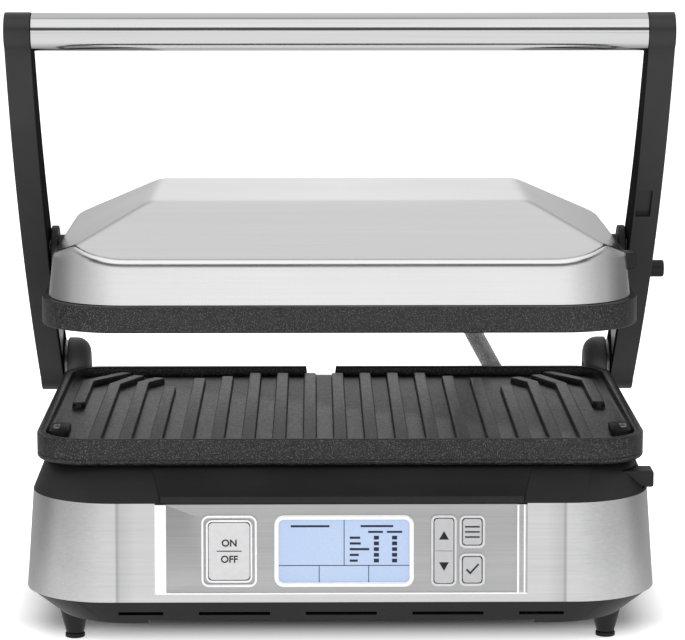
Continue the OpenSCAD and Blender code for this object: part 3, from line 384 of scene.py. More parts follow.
def skin(node, material, width, segments=3, smooth_deg=32):
    """A copy of a CAD node with rounded edges, which stands for the node."""
    mesh = frame["nodes"][node].data.copy()
    work = bmesh.new()
    work.from_mesh(mesh)
    bmesh.ops.remove_doubles(work, verts=work.verts, dist=0.000002)
    bmesh.ops.dissolve_limit(
        work, angle_limit=math.radians(0.4), verts=work.verts, edges=work.edges, delimit={"NORMAL"}
    )
    bmesh.ops.recalc_face_normals(work, faces=work.faces)
    work.to_mesh(mesh)
    work.free()
    piece = place(mesh, node + "_skin", material, BODY_OF[node], SLOT_OF[node], smooth_deg)
    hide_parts(node)
    return bevelled(piece, width, segments)


def loft(name, loops, closed=False):
    """A surface through closed loops of equal length, capped at both ends or closed into a ring."""
    rows, count = len(loops), len(loops[0])
    faces = [
        (r * count + k, r * count + (k + 1) % count, (r + 1) * count + (k + 1) % count, (r + 1) * count + k)
        for r in range(rows - 1)
        for k in range(count)
    ]
    last = (rows - 1) * count
    if closed:
        faces += [(last + k, last + (k + 1) % count, (k + 1) % count, k) for k in range(count)]
    else:
        faces += [tuple(range(count - 1, -1, -1)), tuple(range(last, last + count))]
    return mesh_from(name, np.concatenate(loops), faces)


def rounded_plan(half_w, y0, y1, front_r, rear_r, arc=14, side=10):
    """A rounded rectangle's outline seen from above, anticlockwise from its front left."""
    corners = [
        (-half_w + front_r, y0 + front_r, front_r, 180), (half_w - front_r, y0 + front_r, front_r, 270),
        (half_w - rear_r, y1 - rear_r, rear_r, 0), (-half_w + rear_r, y1 - rear_r, rear_r, 90),
    ]
    points = []
    for i, (x, y, r, start) in enumerate(corners):
        turn = np.radians(start + np.linspace(0, 90, arc + 1))
        points += list(zip(x + r * np.cos(turn), y + r * np.sin(turn)))
        nx, ny, nr, nstart = corners[(i + 1) % 4]
        first = np.array(points[-1])
        last = np.array([nx + nr * math.cos(math.radians(nstart)), ny + nr * math.sin(math.radians(nstart))])
        points += [tuple(first + (last - first) * t) for t in np.linspace(0, 1, side + 2)[1:-1]]
    return np.array(points)


def at_height(plan, z):
    return np.column_stack([plan, np.full(len(plan), z) if np.isscalar(z) else z])


def join(meshes, name):
    """One mesh from several."""
    work = bmesh.new()
    for mesh in meshes:
        work.from_mesh(mesh)
    joined = bpy.data.meshes.new(name)
    work.to_mesh(joined)
    work.free()
    return joined


# ---------------------------------------------------------------- lid cover

LID_WALL_H = 24.0
LID_LEAN = 2.5
LID_TOP_W = 212.0
LID_TOP_D = 118.0
LID_FRONT_R = 45.0
LID_REAR_R = 18.4
LID_CREASE = 0.75


def smooth_max(values, softness):
    values = np.stack(values)
    top = values.max(0)
    return top + softness * np.log(np.exp((values - top) / softness).sum(0))


def lid_field(p, low, high):
    """How far each point lies outside the lid's form, with every crease rounded."""
    mid_y = (low[1] + high[1]) / 2
    eave = low[2] + LID_WALL_H
    rise = high[2] - eave
    lean = LID_LEAN * np.clip((p[:, 2] - low[2]) / LID_WALL_H, 0, 1.2)
    half = np.array([high[0], (high[1] - low[1]) / 2])
    r = np.where(p[:, 1] < mid_y, LID_FRONT_R, LID_REAR_R)
    q = np.abs(p[:, :2] - [0, mid_y]) - (half - r[:, None])
    wall = np.linalg.norm(np.maximum(q, 0), axis=1) + np.minimum(q.max(1), 0) - r + lean
    planes = [wall, p[:, 2] - high[2]]
    for axis, top in ((0, LID_TOP_W / 2), (1, LID_TOP_D / 2)):
        run = half[axis] - LID_LEAN - top
        out = np.abs(p[:, axis] - (0, mid_y)[axis]) - top
        planes.append((out * rise - (high[2] - p[:, 2]) * run) / math.hypot(rise, run))
    return smooth_max(planes, LID_CREASE)


def on_field(field, centre, targets, *extra):
    """Moves each target along its ray from the centre onto the zero of the field."""
    near, far = np.zeros(len(targets)), np.full(len(targets), 1.35)
    for _ in range(30):
        middle = (near + far) / 2
        inside = field(centre + (targets - centre) * middle[:, None], *extra) < 0
        near, far = np.where(inside, middle, near), np.where(inside, far, middle)
    return centre + (targets - centre) * ((near + far) / 2)[:, None]


def make_lid_cover():
    low, high = box_mm("lid_cover")
    low[1], high[1] = box_mm("upper_plate")[0][1] + 3.6, box_mm("upper_plate")[1][1] - 3.6
    high[0] = box_mm("upper_plate")[1][0] - 3.6
    mid_y = (low[1] + high[1]) / 2
    plan = rounded_plan(high[0], low[1], high[1], LID_FRONT_R, LID_REAR_R, 36, 70)
    centre = np.array([0, mid_y, low[2] - 90])
    middle = np.array([0, mid_y])
    loops = []
    for z in np.linspace(low[2], low[2] + LID_WALL_H, 14):
        loops.append(at_height(plan, z))
    for share in np.linspace(1, 0, 170)[:-1]:
        loops.append(at_height(middle + (plan - middle) * share, high[2] - 25 * share**6))
    shaped = [on_field(lid_field, centre, loop, low, high) for loop in loops]
    shaped[0][:, 2] = low[2]
    inner = middle + (plan - middle) * 0.985
    shaped = [at_height(inner, low[2] + 6), at_height(inner, low[2])] + shaped
    piece = place(loft("lid_cover_skin", shaped), "lid_cover_skin", lid_steel, "lid", "brushed_steel", 50)
    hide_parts("lid_cover")


# ---------------------------------------------------------------- cooking plates

RIB_COUNT = 17
RIB_PITCH = 16.7
RIM_T = 5.0
FLOOR_FRONT = 10.4
FLOOR_REAR = 9.0
FLOOR_EMBED = 0.4
NOTCH = (-19.0, -1.0)
# a rib's section: half the width at each height above the floor
RIB_SECTION = ((4.0, -FLOOR_EMBED), (3.8, 0.6), (3.5, 2.6), (3.4, 3.0), (3.2, 3.25), (2.95, 3.37), (2.6, 3.4))
# where the ribs stop in front of the rear rim's inner side, from the outermost inwards
RIB_BACKS = (47, 41, 56, 27, 20, 8)
RIB_FRONT = 5.5
# how far the spare rings lie from a rib's bend
RIB_BEND = 4
# the short rib beside the others, and how far the outer ribs' turned ends go inwards and back
SIDE_RIB_START = 118.0
SIDE_RIB_BACK = 36.0
TURNED = ((22, 31), (13, 31), (9.5, 16))
# how far the clips and the painted shade of their recesses lie behind the lower plate's front edge
CLIP_BACK = 43


def floor_at(y, depth):
    return FLOOR_FRONT + (FLOOR_REAR - FLOOR_FRONT) * y / depth


def rib_bar(path, depth, round_start=False):
    """A flat-topped rib along a path over the cooking floor. Spare rings beside its ends and bends
    keep their smoothing off the long faces between them."""
    path = np.array(path, float)
    legs = np.diff(path, axis=0)
    legs /= np.linalg.norm(legs, axis=1)[:, None]
    rings = []
    ends = ((0.0, 0.62, 0.86), (0.5, 0.86, 0.97), (1.6, 1.0, 1.0), (3.0, 1.0, 1.0))
    if round_start:
        ends = ((0.0, 0.3, 0.8), (0.5, 0.62, 0.94), (1.6, 0.87, 1.0), (4.0, 1.0, 1.0), (6.0, 1.0, 1.0))

    def ring(centre, across, wide, tall):
        left = [(-w * wide, h * (tall if h > 0 else 1)) for w, h in RIB_SECTION]
        section = left + [(-u, v) for u, v in reversed(left)]
        rings.append(np.array([
            [centre[0] + u * across[0], centre[1] + u * across[1], floor_at(centre[1], depth) + v]
            for u, v in section
        ]))

    def side_of(leg):
        return np.array([leg[1], -leg[0]])

    for step, wide, tall in ends:
        ring(path[0] + legs[0] * step, side_of(legs[0]), wide, tall)
    for k in range(1, len(path) - 1):
        bisector = side_of(legs[k - 1]) + side_of(legs[k])
        bisector /= np.linalg.norm(bisector)
        ring(path[k] - legs[k - 1] * RIB_BEND, side_of(legs[k - 1]), 1.0, 1.0)
        ring(path[k], bisector / (bisector @ side_of(legs[k])), 1.0, 1.0)
        ring(path[k] + legs[k] * RIB_BEND, side_of(legs[k]), 1.0, 1.0)
    for step, wide, tall in reversed(((0.0, 0.8, 0.9), (0.5, 0.95, 0.97), (1.6, 1.0, 1.0), (3.0, 1.0, 1.0))):
        ring(path[-1] - legs[-1] * step, side_of(legs[-1]), wide, tall)
    return loft("rib", rings)


def plate_ribs(depth):
    inner = depth - RIM_T
    bars = []
    for i in range(RIB_COUNT):
        x = (i - (RIB_COUNT - 1) / 2) * RIB_PITCH
        from_side = min(i, RIB_COUNT - 1 - i)
        end = inner - RIB_BACKS[min(from_side, len(RIB_BACKS) - 1)]
        path = [(x, RIB_FRONT), (x, end)]
        if from_side < 2:
            run = TURNED[from_side + 1]
            path.append((x - math.copysign(run[0], x), end + run[1]))
        bars.append(rib_bar(path, depth))
    for side in (-1, 1):
        x = side * ((RIB_COUNT - 1) / 2 + 1) * RIB_PITCH
        end = inner - SIDE_RIB_BACK
        bars.append(rib_bar(
            [(x, SIDE_RIB_START), (x, end), (x - side * TURNED[0][0], end + TURNED[0][1])], depth, True
        ))
    return bars


def plate_outline(inset, half_w, depth, front_r, rear_r):
    """A plate's outline with extra points across the drain notch in its rear side."""
    plan = rounded_plan(half_w - inset, inset, depth - inset, front_r - inset, rear_r - inset, 20, 9)
    rear = np.where((np.abs(plan[:, 1] - (depth - inset)) < 1e-6) & (np.abs(plan[:, 0]) < half_w - rear_r - 1))[0]
    steps = np.array([-0.6, -0.1, 0.1, 0.6, 1.2])
    extra = np.sort(np.concatenate([NOTCH[1] - steps, NOTCH[0] + steps]))[::-1]
    middle = np.array([(x, depth - inset) for x in extra])
    keep = [k for k in rear if plan[k, 0] > NOTCH[1] + 3 or plan[k, 0] < NOTCH[0] - 3]
    right = [k for k in keep if plan[k, 0] > 0]
    left = [k for k in keep if plan[k, 0] < 0]
    return np.vstack([plan[: right[-1] + 1], middle, plan[left[0]:]])


def plate_mesh(name, half_w, depth, height, front_r, rear_r, foot, groove):
    """A plate in its own frame: front edge at y = 0, underside at z = 0, cooking side up."""

    def outline(inset):
        return plate_outline(inset, half_w, depth, front_r, rear_r)

    def notched(plan, z):
        inside = np.minimum(plan[:, 0] - NOTCH[0], NOTCH[1] - plan[:, 0])
        share = np.clip((inside + 0.1) / 0.7, 0, 1) * (plan[:, 1] > depth - RIM_T - 2)
        low = floor_at(plan[:, 1], depth) - 0.02
        return np.column_stack([plan, np.where(z > low, z + share * (low - z), z)])

    top = 1.1
    quarter = np.radians([0, 22.5, 45, 67.5, 90])
    loops = [at_height(outline(5), 0.0), at_height(outline(foot), 0.0)]
    loops += [at_height(outline(foot - foot * math.sin(a)), foot * 0.8 * (1 - math.cos(a))) for a in quarter[1:]]
    lip = foot * 0.8 + 0.9
    loops += [at_height(outline(0), lip), at_height(outline(groove), lip + 0.25),
              at_height(outline(groove), lip + 0.55), at_height(outline(0.02), lip + 0.8)]
    for a in quarter:
        plan = outline(top - top * math.cos(a))
        loops.append(notched(plan, np.full(len(plan), height - top + top * math.sin(a))))
    for a in quarter:
        plan = outline(RIM_T - top - 0.3 + top * math.sin(a))
        loops.append(notched(plan, np.full(len(plan), height - top + top * math.cos(a))))
    for a in quarter[1:]:
        plan = outline(RIM_T - 0.3 + 1.6 * (1 - math.cos(a)))
        loops.append(notched(plan, floor_at(plan[:, 1], depth) + 1.6 * (1 - math.sin(a))))
    rim = loft(name + "_rim", loops)
    return join([rim] + plate_ribs(depth), name)


def make_plate_seats(node):
    """Dark blocks in the lower plate's front corners, each under a small bright clip: painted shade standing for
    the shaded recesses.
    """
    low = box_mm(node)[0]
    for side, name in ((-1, "left"), (1, "right")):
        for part, half_w, half_d, r, z0, z1, x, material, slot in (
            # the dark block is painted shade for a shaded recess; the clip is a real part
            ("seat", 5.4, 13.0, 3.0, 10.0, 13.6, 154.6, gloss_black, "cast_plate"),
            ("clip", 1.9, 4.6, 1.2, 13.4, 14.4, 156.2, plain_steel, "zinc_steel"),
        ):
            loops = []
            for inset, z in ((0, z0), (0, z1 - 0.5), (0.15, z1 - 0.15), (0.5, z1)):
                plan = rounded_plan(half_w - inset, -half_d + inset, half_d - inset, r - inset, r - inset, 6, 1)
                loops.append(at_height(plan + [side * x, low[1] + CLIP_BACK], low[2] + z))
            piece_name = f"plate_{part}_{name}"
            place(loft(piece_name, loops), piece_name, material, BODY_OF[node], slot)


def make_plate(node, front_r, rear_r, turned):
    low, high = box_mm(node)
    height = high[2] - low[2]
    foot, groove = (0.9, 0.02) if turned else (2.4, 0.35)
    mesh = plate_mesh(node + "_skin", high[0], high[1] - low[1], height, front_r, rear_r, foot, groove)
    for v in mesh.vertices:
        z = v.co.z
        v.co.y += low[1] * MM
        v.co.z = high[2] * MM - z if turned else low[2] * MM + z
    if turned:
        mesh.flip_normals()
    piece = place(mesh, node + "_skin", coating, BODY_OF[node], "cast_plate", 40)
    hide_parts(node)


# ---------------------------------------------------------------- control face

FACE_H = 53.1
FACE_LEAN = 4.0
FACE_TILT = math.atan(FACE_LEAN / FACE_H)
FACE_MID_Z = 32.4 + FACE_H / 2


def make_text(words, name, size, x, z, depth, material, body):
    """Raised words on the control face."""
    curve = bpy.data.curves.new(name, "FONT")
    curve.body = words
    curve.align_x, curve.align_y = "CENTER", "CENTER"
    curve.size = size * MM
    curve.extrude = 0.06 * MM
    curve.offset = 0.12 * MM
    piece = bpy.data.objects.new(name, curve)
    bpy.context.scene.collection.objects.link(piece)
    piece.data.materials.append(material)
    piece.location = Vector(on_face((x, depth, z)) * MM)
    piece.rotation_euler = (math.radians(90) - FACE_TILT, 0, 0)
    bpy.context.view_layer.update()
    mesh = bpy.data.meshes.new_from_object(piece.evaluated_get(bpy.context.evaluated_depsgraph_get()))
    mesh.transform(piece.matrix_world)
    bpy.data.objects.remove(piece)
    return place(mesh, name, material, body)


def on_face(p):
    """A point of the control face's own frame, in millimetres of the row frame."""
    x, y, z = p
    c, s = math.cos(FACE_TILT), math.sin(FACE_TILT)
    origin_y = box_mm("front_band")[0][1] + FACE_LEAN / 2
    return np.array([x, origin_y + y * c + z * s, FACE_MID_Z - y * s + z * c])


def face_shape(name, outline, y0, y1, material, body):
    """An outline in the control face's X and Z, raised from depth y1 to y0."""
    count = len(outline)
    points = [(x, y0, z) for x, z in outline] + [(x, y1, z) for x, z in outline]
    faces = [tuple(range(count)), tuple(range(2 * count - 1, count - 1, -1))]
    faces += [(k, k + count, (k + 1) % count + count, (k + 1) % count) for k in range(count)]
    place(outwards(mesh_from(name, [on_face(p) for p in points], faces)), name, material, body)


def rect(u0, v0, u1, v1):
    return [(u0, v0), (u1, v0), (u1, v1), (u0, v1)]


def face_ring(name, x, z, half_w, half_h, r, width, y0, y1, material):
    """A narrow raised line round a key, half_w and half_h from its middle to its outer side."""
    loops = []
    for inset, y in ((0, y1), (0, y0 + 0.12), (0.15, y0), (width - 0.15, y0), (width, y0 + 0.12), (width, y1)):
        plan = rounded_plan(half_w - inset, -half_h + inset, half_h - inset, r - inset, r - inset, 8, 1)
        loops.append(np.array([on_face((x + u, y, z + v)) for u, v in plan]))
    return place(outwards(loft(name, loops, closed=True)), name, material, "base", "ring_silver", 40)


def face_prism(name, section, z0, z1, material, slot):
    """A bar along the control face's Z with a section given in its X and Y."""
    loops = [np.array([on_face((x, y, z)) for x, y in section]) for z in (z0, z1)]
    bevelled(place(outwards(loft(name, loops)), name, material, "base", slot), 0.12, 2)


POWER_X, DISPLAY_X, ROCKER_X, SMALL_X = -59.7, 1.5, 54.7, 69.8
MIDDLE_Z, MENU_Z, CONFIRM_Z = 1.0, 11.2, -9.2
PANEL_DEPTH = 1.2
PANEL_LOW, PANEL_HIGH = -21.7, 25.9


def make_panel_edges():
    """The panel's edges, with painted highlights: a flat bright strip for the lit slope at its left, the double
    edge at its right with two bright lines of painted highlight, a bright strip along its foot; and the rings'
    lines.
    """
    back = PANEL_DEPTH + 0.2
    for name, x0, x1, y0, y1, material, slot in (
        # edge_left, line_inner and line_outer are bright silver strips that stand for lit edges: painted highlights
        ("edge_left", -99.35, -93.2, -0.06, back, ring_silver, "ring_silver"),
        ("edge_right", 94.7, 97.3, 0.02, 0.6, panel_steel, "brushed_steel"),
        ("line_inner", 93.7, 94.8, -0.1, back, ring_silver, "ring_silver"),
        ("line_outer", 97.2, 98.2, -0.1, 0.6, ring_silver, "ring_silver"),
        ("edge_outer", 98.1, 99.35, -0.03, 0.6, panel_steel, "brushed_steel"),
    ):
        face_prism("panel_" + name, rect(x0, y0, x1, y1), PANEL_LOW, PANEL_HIGH, material, slot)
    # a bright silver strip along the panel's lower edge: painted highlight
    face_prism("panel_lip", rect(-99.3, -0.03, 99.3, back), PANEL_LOW - 0.6, PANEL_LOW + 0.3, ring_silver,
               "ring_silver")
    half_h = 38.4 / 2
    frame_ring = face_ring("display_frame_skin", DISPLAY_X, MIDDLE_Z, 37.15, half_h, 5.0, 2.3, 0.15,
                           PANEL_DEPTH + 0.8, ring_silver)
    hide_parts("display_frame")
    face_ring("power_line_outer", POWER_X, MIDDLE_Z, 14.8, half_h, 4, 1.0, -0.02, 0.6, ring_silver)
    face_ring("power_line_inner", POWER_X, MIDDLE_Z, 12.3, half_h - 2.4, 3.2, 1.0, -0.02, 0.6, ring_silver)


def make_control_marks():
    power_face = PANEL_DEPTH - 1.4 - 0.02
    small_face = PANEL_DEPTH - 1.2 - 0.02
    for words, name, rise in (("ON", "mark_on", 4.3), ("OFF", "mark_off", -4.4)):
        make_text(words, name, 5.2, POWER_X + 0.1, MIDDLE_Z + rise, power_face, print_black, "power_button_body")
    face_shape("mark_line", rect(POWER_X - 6.6, MIDDLE_Z - 0.1, POWER_X + 6.7, MIDDLE_Z + 0.4),
               power_face - 0.06, power_face + 0.1, print_black, "power_button_body")
    for sign, name in ((1, "up"), (-1, "down")):
        tip = [(ROCKER_X - 2.6, MIDDLE_Z + sign * 6.1), (ROCKER_X + 2.6, MIDDLE_Z + sign * 6.1),
               (ROCKER_X, MIDDLE_Z + sign * 10.7)]
        face_shape("mark_" + name, tip, small_face - 0.06, small_face + 0.1, print_black, "arrow_rocker_body")
    face_shape("mark_rocker_line", rect(ROCKER_X - 4.6, MIDDLE_Z - 0.25, ROCKER_X + 4.6, MIDDLE_Z + 0.25),
               small_face - 0.03, small_face + 0.1, plain_steel, "arrow_rocker_body")
    for row in (-1, 0, 1):
        z = MENU_Z + row * 2.75
        face_shape(f"mark_bar_{row + 1}", rect(SMALL_X - 3.9, z - 0.4, SMALL_X + 3.9, z + 0.4),
                   small_face - 0.06, small_face + 0.1, print_black, "menu_button_body")
    tick = [(-3.4, -0.1), (-2.7, 0.6), (-1.1, -1.1), (3.1, 3.4), (3.7, 2.8), (-1.1, -2.5)]
    face_shape("mark_tick", [(SMALL_X + x, CONFIRM_Z + z) for x, z in tick], small_face - 0.06,
               small_face + 0.1, print_black, "confirm_button_body")


def make_display_marks():
    glass = PANEL_DEPTH - 0.4 - 0.02
    half_w, half_h = 34.8, 16.9

    def mark(name, x0, z0, x1, z1):
        face_shape("lcd_" + name, rect(DISPLAY_X + x0, MIDDLE_Z + z0, DISPLAY_X + x1, MIDDLE_Z + z1),
                   glass - 0.04, glass + 0.1, print_navy, "base")

    fold_z = -7.8
    mark("line_cross", -half_w, fold_z - 0.2, half_w, fold_z + 0.2)
    mark("line_middle", -0.2, fold_z, 0.2, half_h)
    mark("line_left", -13.5, -half_h, -13.1, fold_z)
    mark("line_right", 12.9, -half_h, 13.3, fold_z)
    # plain bars and squares where the words of the real display are left out
    for row in range(5):
        z = 7.1 - row * 3.08
        length = (5.6, 5.9, 10.4, 4.8, 4.3)[row]
        mark(f"bar_{row}", 3.0, z - 0.6, 3.0 + length, z + 0.6)
        for column, x in enumerate((17.2, 26.9)):
            mark(f"cell_{row}_{column}", x - 1.35, z - 1.0, x + 1.35, z + 1.0)
    for name, x0, x1, z in (("head_left", -28.4, -7.8, 13.3), ("head_right", 8.8, 26.2, 13.3),
                            ("head_column_0", 12.8, 20.7, 10.2), ("head_column_1", 22.8, 31.0, 10.2)):
        mark(name, x0, z - 0.55, x1, z + 0.55)


def make_shell_apron():
    """The step in the middle of the shoulder, with a narrow upright facet above the band."""
    section = [(-137.95, 85.3), (-137.75, 88.7), (-137.1, 89.05), (-131.0, 89.85), (-112.0, 100.0),
               (-111.0, 98.5), (-131.0, 87.5)]
    loops = []
    for side in (-1, 1):
        loops.append(np.array([(side * (96.8 + 6.0 * max(0, (y + 137) / 25)) + 0.5, y, z) for y, z in section]))
    mesh = outwards(loft("shell_apron", loops))
    bevelled(place(mesh, "shell_apron", black_plastic, "base", "black_plastic"), 0.5)


TOWER_R = 16.2
TOWER_SHOULDER = 8.5


def make_tower(node):
    """A hinge tower: an upright under a dome whose inner shoulder is rounded."""
    low, high = box_mm(node)
    side = 1 if high[0] > 0 else -1
    inner, outer = min(abs(low[0]), abs(high[0])), max(abs(low[0]), abs(high[0]))
    hinge_y, hinge_z = (low[1] + high[1]) / 2, high[2] - TOWER_R
    turn = np.radians(np.arange(0, 360, 5))
    stations = [(inner + TOWER_SHOULDER * (1 - math.cos(a)), TOWER_R - TOWER_SHOULDER * (1 - math.sin(a)))
                for a in np.radians(np.arange(0, 91, 11.25))]
    stations += [(outer - 0.6, TOWER_R), (outer - 0.15, TOWER_R - 0.2), (outer, TOWER_R - 0.6)]
    dome = [
        np.column_stack([np.full(len(turn), side * x), hinge_y + r * np.cos(turn), hinge_z + r * np.sin(turn)])
        for x, r in stations
    ]
    outline = np.array([(hinge_y - TOWER_R, hinge_z), (hinge_y - 14, low[2]), (hinge_y + 1, low[2]),
                        (hinge_y + TOWER_R, hinge_z)])
    middle = np.array([hinge_y, hinge_z])
    post = []
    for x, share in ((inner, 0.5), (inner + 1.2, 0.78), (inner + 3.5, 0.92), (inner + 8, 1.0), (inner + 8.1, 0.99)):
        plan = middle + (outline - middle) * [share, 1]
        post.append(np.column_stack([np.full(4, side * x), plan]))
    mesh = outwards(join([loft("dome", dome), loft("post", post)], node + "_skin"))
    # the dome's lighter colour is painted sheen on black plastic
    piece = place(mesh, node + "_skin", tower_plastic_painted_sheen, "base", "black_plastic", 40)
    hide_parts(node)


# ---------------------------------------------------------------- braided conduit

CONDUIT_R = 5.7
STRANDS = 14
STRAND_PITCH = 26.0
# where the conduit leaves the base, and how far its gland leans back and inwards
CONDUIT_FOOT = np.array([110.0, 134.0, 87.5])
GLAND_LEAN_Y, GLAND_LEAN_X = math.radians(20), math.radians(30)


def cubic(p, t):
    t = t[:, None]
    return (1 - t)**3 * p[0] + 3 * (1 - t)**2 * t * p[1] + 3 * (1 - t) * t * t * p[2] + t**3 * p[3]


def make_conduit():
    """Four lengths of the braided conduit."""
    level = math.cos(GLAND_LEAN_Y)
    way = np.array([-level * math.sin(GLAND_LEAN_X), math.sin(GLAND_LEAN_Y), level * math.cos(GLAND_LEAN_X)])
    lid_low, lid_high = box_mm("conduit_gland_lid")
    end = np.array([(lid_low[0] + lid_high[0]) / 2, lid_high[1] + 1, (lid_low[2] + lid_high[2]) / 2])
    start = CONDUIT_FOOT + 9 * way
    curve = [start, start + 45 * way, end + [2, 36, -5], end]
    path = np.vstack([CONDUIT_FOOT - 4 * way, cubic(curve, np.linspace(0, 1, 160)), end - [0, 8, 0]])
    step = np.linalg.norm(np.diff(path, axis=0), axis=1)
    along = np.concatenate([[0], np.cumsum(step)])
    length = along[-1]

    def frame_at(s):
        point = np.column_stack([np.interp(s, along, path[:, i]) for i in range(3)])
        ahead = np.column_stack([np.interp(s + 0.5, along, path[:, i]) for i in range(3)])
        behind = np.column_stack([np.interp(s - 0.5, along, path[:, i]) for i in range(3)])
        tangent = ahead - behind
        tangent /= np.linalg.norm(tangent, axis=1)[:, None]
        side = np.cross(tangent, [1, 0.2, 0])
        side /= np.linalg.norm(side, axis=1)[:, None]
        return point, side, np.cross(tangent, side)

    for k in range(4):
        ends = np.array([k, k + 1]) / 4 * length
        mesh = conduit_length(frame_at, ends[0] - (0.3 if k else 0), ends[1] + (0.3 if k < 3 else 0))
        finish_mesh(mesh, braid, 40)
        piece = bpy.data.objects.new(f"conduit_braid_{k}", mesh)
        bpy.context.scene.collection.objects.link(piece)
        cuts = frame_at(ends)[0] * MM
        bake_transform(piece)
        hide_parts("lid_conduit")


def conduit_length(frame_at, s0, s1):
    """The braid between two stations: an inner hose under strands that cross over and under."""
    pieces = []
    s = np.linspace(s0, s1, int((s1 - s0) / 0.7))
    point, side, up = frame_at(s)
    turn = np.radians(np.arange(24) * 15)
    core = [p + (CONDUIT_R - 0.75) * (np.cos(turn)[:, None] * a + np.sin(turn)[:, None] * b)
            for p, a, b in zip(point, side, up)]
    pieces.append(loft("core", core))
    for way_round in (1, -1):
        for k in range(STRANDS):
            angle = way_round * 2 * math.pi * s / STRAND_PITCH + 2 * math.pi * k / STRANDS
            weave = np.cos(angle * STRANDS - (0 if way_round > 0 else math.pi)) * 0.22 * way_round
            r = CONDUIT_R - 0.5 + weave
            out = np.cos(angle)[:, None] * side + np.sin(angle)[:, None] * up
            middle = point + r[:, None] * out
            across = np.gradient(middle, axis=0)
            across = np.cross(across, out)
            across /= np.linalg.norm(across, axis=1)[:, None]
            half_w, half_t = 0.5, 0.28
            loops = [
                np.array([m - half_w * c, m + half_t * o, m + half_w * c, m - half_t * o])
                for m, c, o in zip(middle, across, out)
            ]
            pieces.append(loft("strand", loops))
    return outwards(join(pieces, "conduit"))


# ---------------------------------------------------------------- build

make_lid_cover()
make_plate("lower_plate", 30.0, 22.0, False)
make_plate("upper_plate", 45.0, 22.0, True)
make_plate_seats("lower_plate")

for node in ("left_arm", "right_arm"):
    skin(node, arm_plastic, 1.6, 4)
skin("base_shell", black_plastic, 0.8)
skin("base_pan", black_plastic, 0.6)
skin("front_band", band_steel, 0.35, 2, smooth_deg=20)
skin("control_panel", panel_steel, 0.5, smooth_deg=20)
skin("panel_rings", button_silver, 0.35)
skin("display_lens", display_blue, 0.2)
skin("power_button", button_silver, 0.7)
skin("arrow_rocker", key_silver, 0.6)
skin("menu_button", key_silver, 0.6)
skin("confirm_button", key_silver, 0.6)
skin("feet", black_plastic, 0.5)
skin("foot_pads", rubber, 0.6)
skin("lower_release_button", black_plastic, 1.2)
skin("upper_release_button", black_plastic, 1.2)
skin("hinge_lever", black_plastic, 1.4, 4)
skin("pivot_brackets", black_plastic, 0.8)
skin("handle_tube", handle_steel, 0.3)
skin("arm_straps", strap_steel, 0.2, 2)
skin("drip_tray", black_plastic, 0.8)
skin("power_inlet", rubber, 0.5)
skin("conduit_gland_base", black_plastic, 0.6)
skin("conduit_gland_lid", black_plastic, 0.6)
make_tower("hinge_tower_left")
make_tower("hinge_tower_right")
make_shell_apron()
make_panel_edges()
make_control_marks()
make_display_marks()

make_conduit()

# ---------------------------------------------------------------- stage, light and camera


FLOOR_HALF, FLOOR_Z = 9000, -0.2


def make_floor():
    corners = [(x * FLOOR_HALF, y * FLOOR_HALF, FLOOR_Z) for x, y in ((-1, -1), (1, -1), (1, 1), (-1, 1))]
    mesh = mesh_from("floor", corners, [(0, 1, 2, 3)])
    m = Nodes("floor")
    m.set(Roughness=0.9, Specular_IOR_Level=0.1, Base_Color=(0.86, 0.86, 0.86, 1))
    floor = bpy.data.objects.new("floor", mesh)
    mesh.materials.append(m.material)
    bpy.context.scene.collection.objects.link(floor)
    # the floor glows away from the grill, so that its shadow stays close and it ends in plain white
    spread = m.coords
    for operation, value in (
        ("ABSOLUTE", None), ("SUBTRACT", (0.15, 0.045, 0)), ("MAXIMUM", (0, 0, 0)), ("LENGTH", None)
    ):
        step = m.add("ShaderNodeVectorMath", operation=operation)
        m.link(spread, step.inputs[0])
        if value:
            step.inputs[1].default_value = value
        spread = step.outputs["Value" if operation == "LENGTH" else "Vector"]
    smooth = {"interpolation_type": "SMOOTHSTEP"}
    m.set(Emission_Color=(1, 1, 1, 1))
    m.into("Emission Strength", m.level(spread, 0.008, 0.065, 0.0, 0.85, **smooth))
    # what the grill mirrors of the floor: shaded close to it and at its sides, bright ahead
    aside = m.maths("ABSOLUTE", m.axis(m.coords, "X"))
    away = m.maths("MULTIPLY", m.axis(m.coords, "Y"), -1.0)
    mirrored = m.maths("MULTIPLY", m.level(aside, 0.3, 1.3, 1.0, 0.42, **smooth),
                       m.level(away, -0.1, 0.25, 0.42, 1.0, **smooth))
    glow = m.add("ShaderNodeEmission")
    m.link(mirrored, glow.inputs["Strength"])
    choice = m.add("ShaderNodeMixShader")
    m.link(m.add("ShaderNodeLightPath").outputs["Is Glossy Ray"], choice.inputs[0])
    m.link(m.shader.outputs[0], choice.inputs[1])
    m.link(glow.outputs[0], choice.inputs[2])
    m.link(choice.outputs[0], m.tree.nodes["Material Output"].inputs["Surface"])


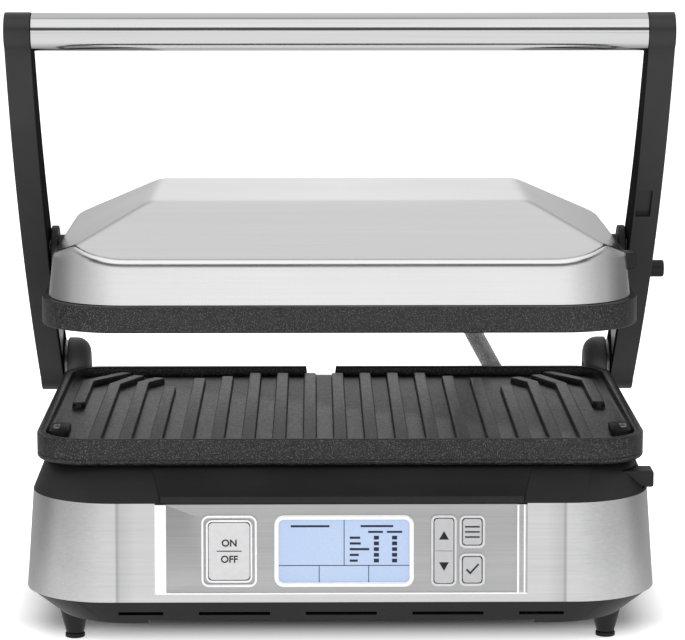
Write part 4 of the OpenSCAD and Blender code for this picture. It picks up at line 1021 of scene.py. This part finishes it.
def make_world():
    """A white room by direction: bright ahead and behind, darker at the sides and overhead."""
    world = bpy.data.worlds.new("studio")
    bpy.context.scene.world = world
    world.use_nodes = True
    tree = world.node_tree

    def math_node(operation, *values):
        node = tree.nodes.new("ShaderNodeMath")
        node.operation = operation
        for socket, value in zip(node.inputs, values):
            if hasattr(value, "is_output"):
                tree.links.new(value, socket)
            else:
                socket.default_value = value
        return node.outputs[0]

    def curve(factor, *stops):
        node = tree.nodes.new("ShaderNodeValToRGB")
        for place_at, _ in stops[1:-1]:
            node.color_ramp.elements.new(place_at)
        for element, (place_at, level) in zip(node.color_ramp.elements, stops):
            element.position = place_at
            element.color = (level, level, level, 1)
        tree.links.new(factor, node.inputs["Fac"])
        return node.outputs["Color"]

    def blend(share, first, second):
        return math_node("ADD", math_node("MULTIPLY", first, math_node("SUBTRACT", 1.0, share)),
                         math_node("MULTIPLY", second, share))

    coords = tree.nodes.new("ShaderNodeTexCoord").outputs["Generated"]
    parts = tree.nodes.new("ShaderNodeSeparateXYZ")
    tree.links.new(coords, parts.inputs[0])
    heading = math_node("ARCTAN2", parts.outputs["X"], math_node("MULTIPLY", parts.outputs["Y"], -1.0))
    turned = math_node("MULTIPLY", math_node("ABSOLUTE", heading), 1 / math.pi)
    height = math_node("MULTIPLY", math_node("ARCSINE", parts.outputs["Z"]), 2 / math.pi)
    around = curve(turned, (0.0, 1.0), (0.12, 1.0), (0.25, 0.78), (0.4, 0.5), (0.66, 0.28), (0.86, 0.34),
                   (0.945, 0.52), (0.978, 0.84), (1.0, 0.86))
    around = blend(curve(height, (0.4, 0.0), (0.65, 1.0)), around, 0.95)
    ahead = curve(height, (0.0, 1.0), (0.1, 1.0), (0.13, 0.1), (0.3, 0.1), (0.34, 1.12), (0.9, 1.12), (0.96, 0.42))
    behind = curve(height, (0.0, 1.0), (0.3, 1.0), (0.7, 0.76), (0.9, 0.72), (0.96, 0.42))
    level = math_node("MULTIPLY", around, blend(curve(turned, (0.3, 0.0), (0.5, 1.0)), ahead, behind))
    seen = tree.nodes.new("ShaderNodeLightPath").outputs["Is Camera Ray"]
    tree.links.new(math_node("MAXIMUM", level, seen), tree.nodes["Background"].inputs["Strength"])
    tree.nodes["Background"].inputs["Color"].default_value = (1, 1, 1, 1)


def area_light(name, place_mm, aim_mm, size_mm, power):
    data = bpy.data.lights.new(name, "AREA")
    data.shape = "RECTANGLE"
    data.size, data.size_y = (v * MM for v in size_mm)
    data.energy = power
    data.specular_factor = 0
    lamp = bpy.data.objects.new(name, data)
    bpy.context.scene.collection.objects.link(lamp)
    lamp.location = Vector(place_mm) * MM
    lamp.visible_glossy = False
    lamp.rotation_euler = (Vector(aim_mm) - Vector(place_mm)).to_track_quat("-Z", "Y").to_euler()


SENSOR_W = 36
# the photo's width and the fitted focal length, in pixels
PHOTO_W, FOCAL = 685, 3000


def make_camera():
    data = bpy.data.cameras.new("camera")
    data.sensor_fit = "HORIZONTAL"
    data.sensor_width = SENSOR_W
    data.lens = FOCAL / PHOTO_W * SENSOR_W
    data.clip_end = 50
    camera = bpy.data.objects.new("camera", data)
    bpy.context.scene.collection.objects.link(camera)
    camera.location = Vector((-14.6, -1699, 428.7)) * MM
    camera.rotation_euler = (math.radians(90 - 8.9), 0, math.radians(-0.56))
    bpy.context.scene.camera = camera


make_floor()
make_world()
area_light("top", (0, -300, 1700), (0, 0, 100), (1500, 1000), 10)
area_light("front", (-300, -2000, 900), (0, 0, 60), (1400, 900), 18)
area_light("left", (-1500, -300, 700), (0, 0, 130), (900, 900), 4)
area_light("right", (1500, -300, 700), (0, 0, 130), (900, 900), 4)
make_camera()
bpy.context.scene.view_settings.view_transform = "Standard"
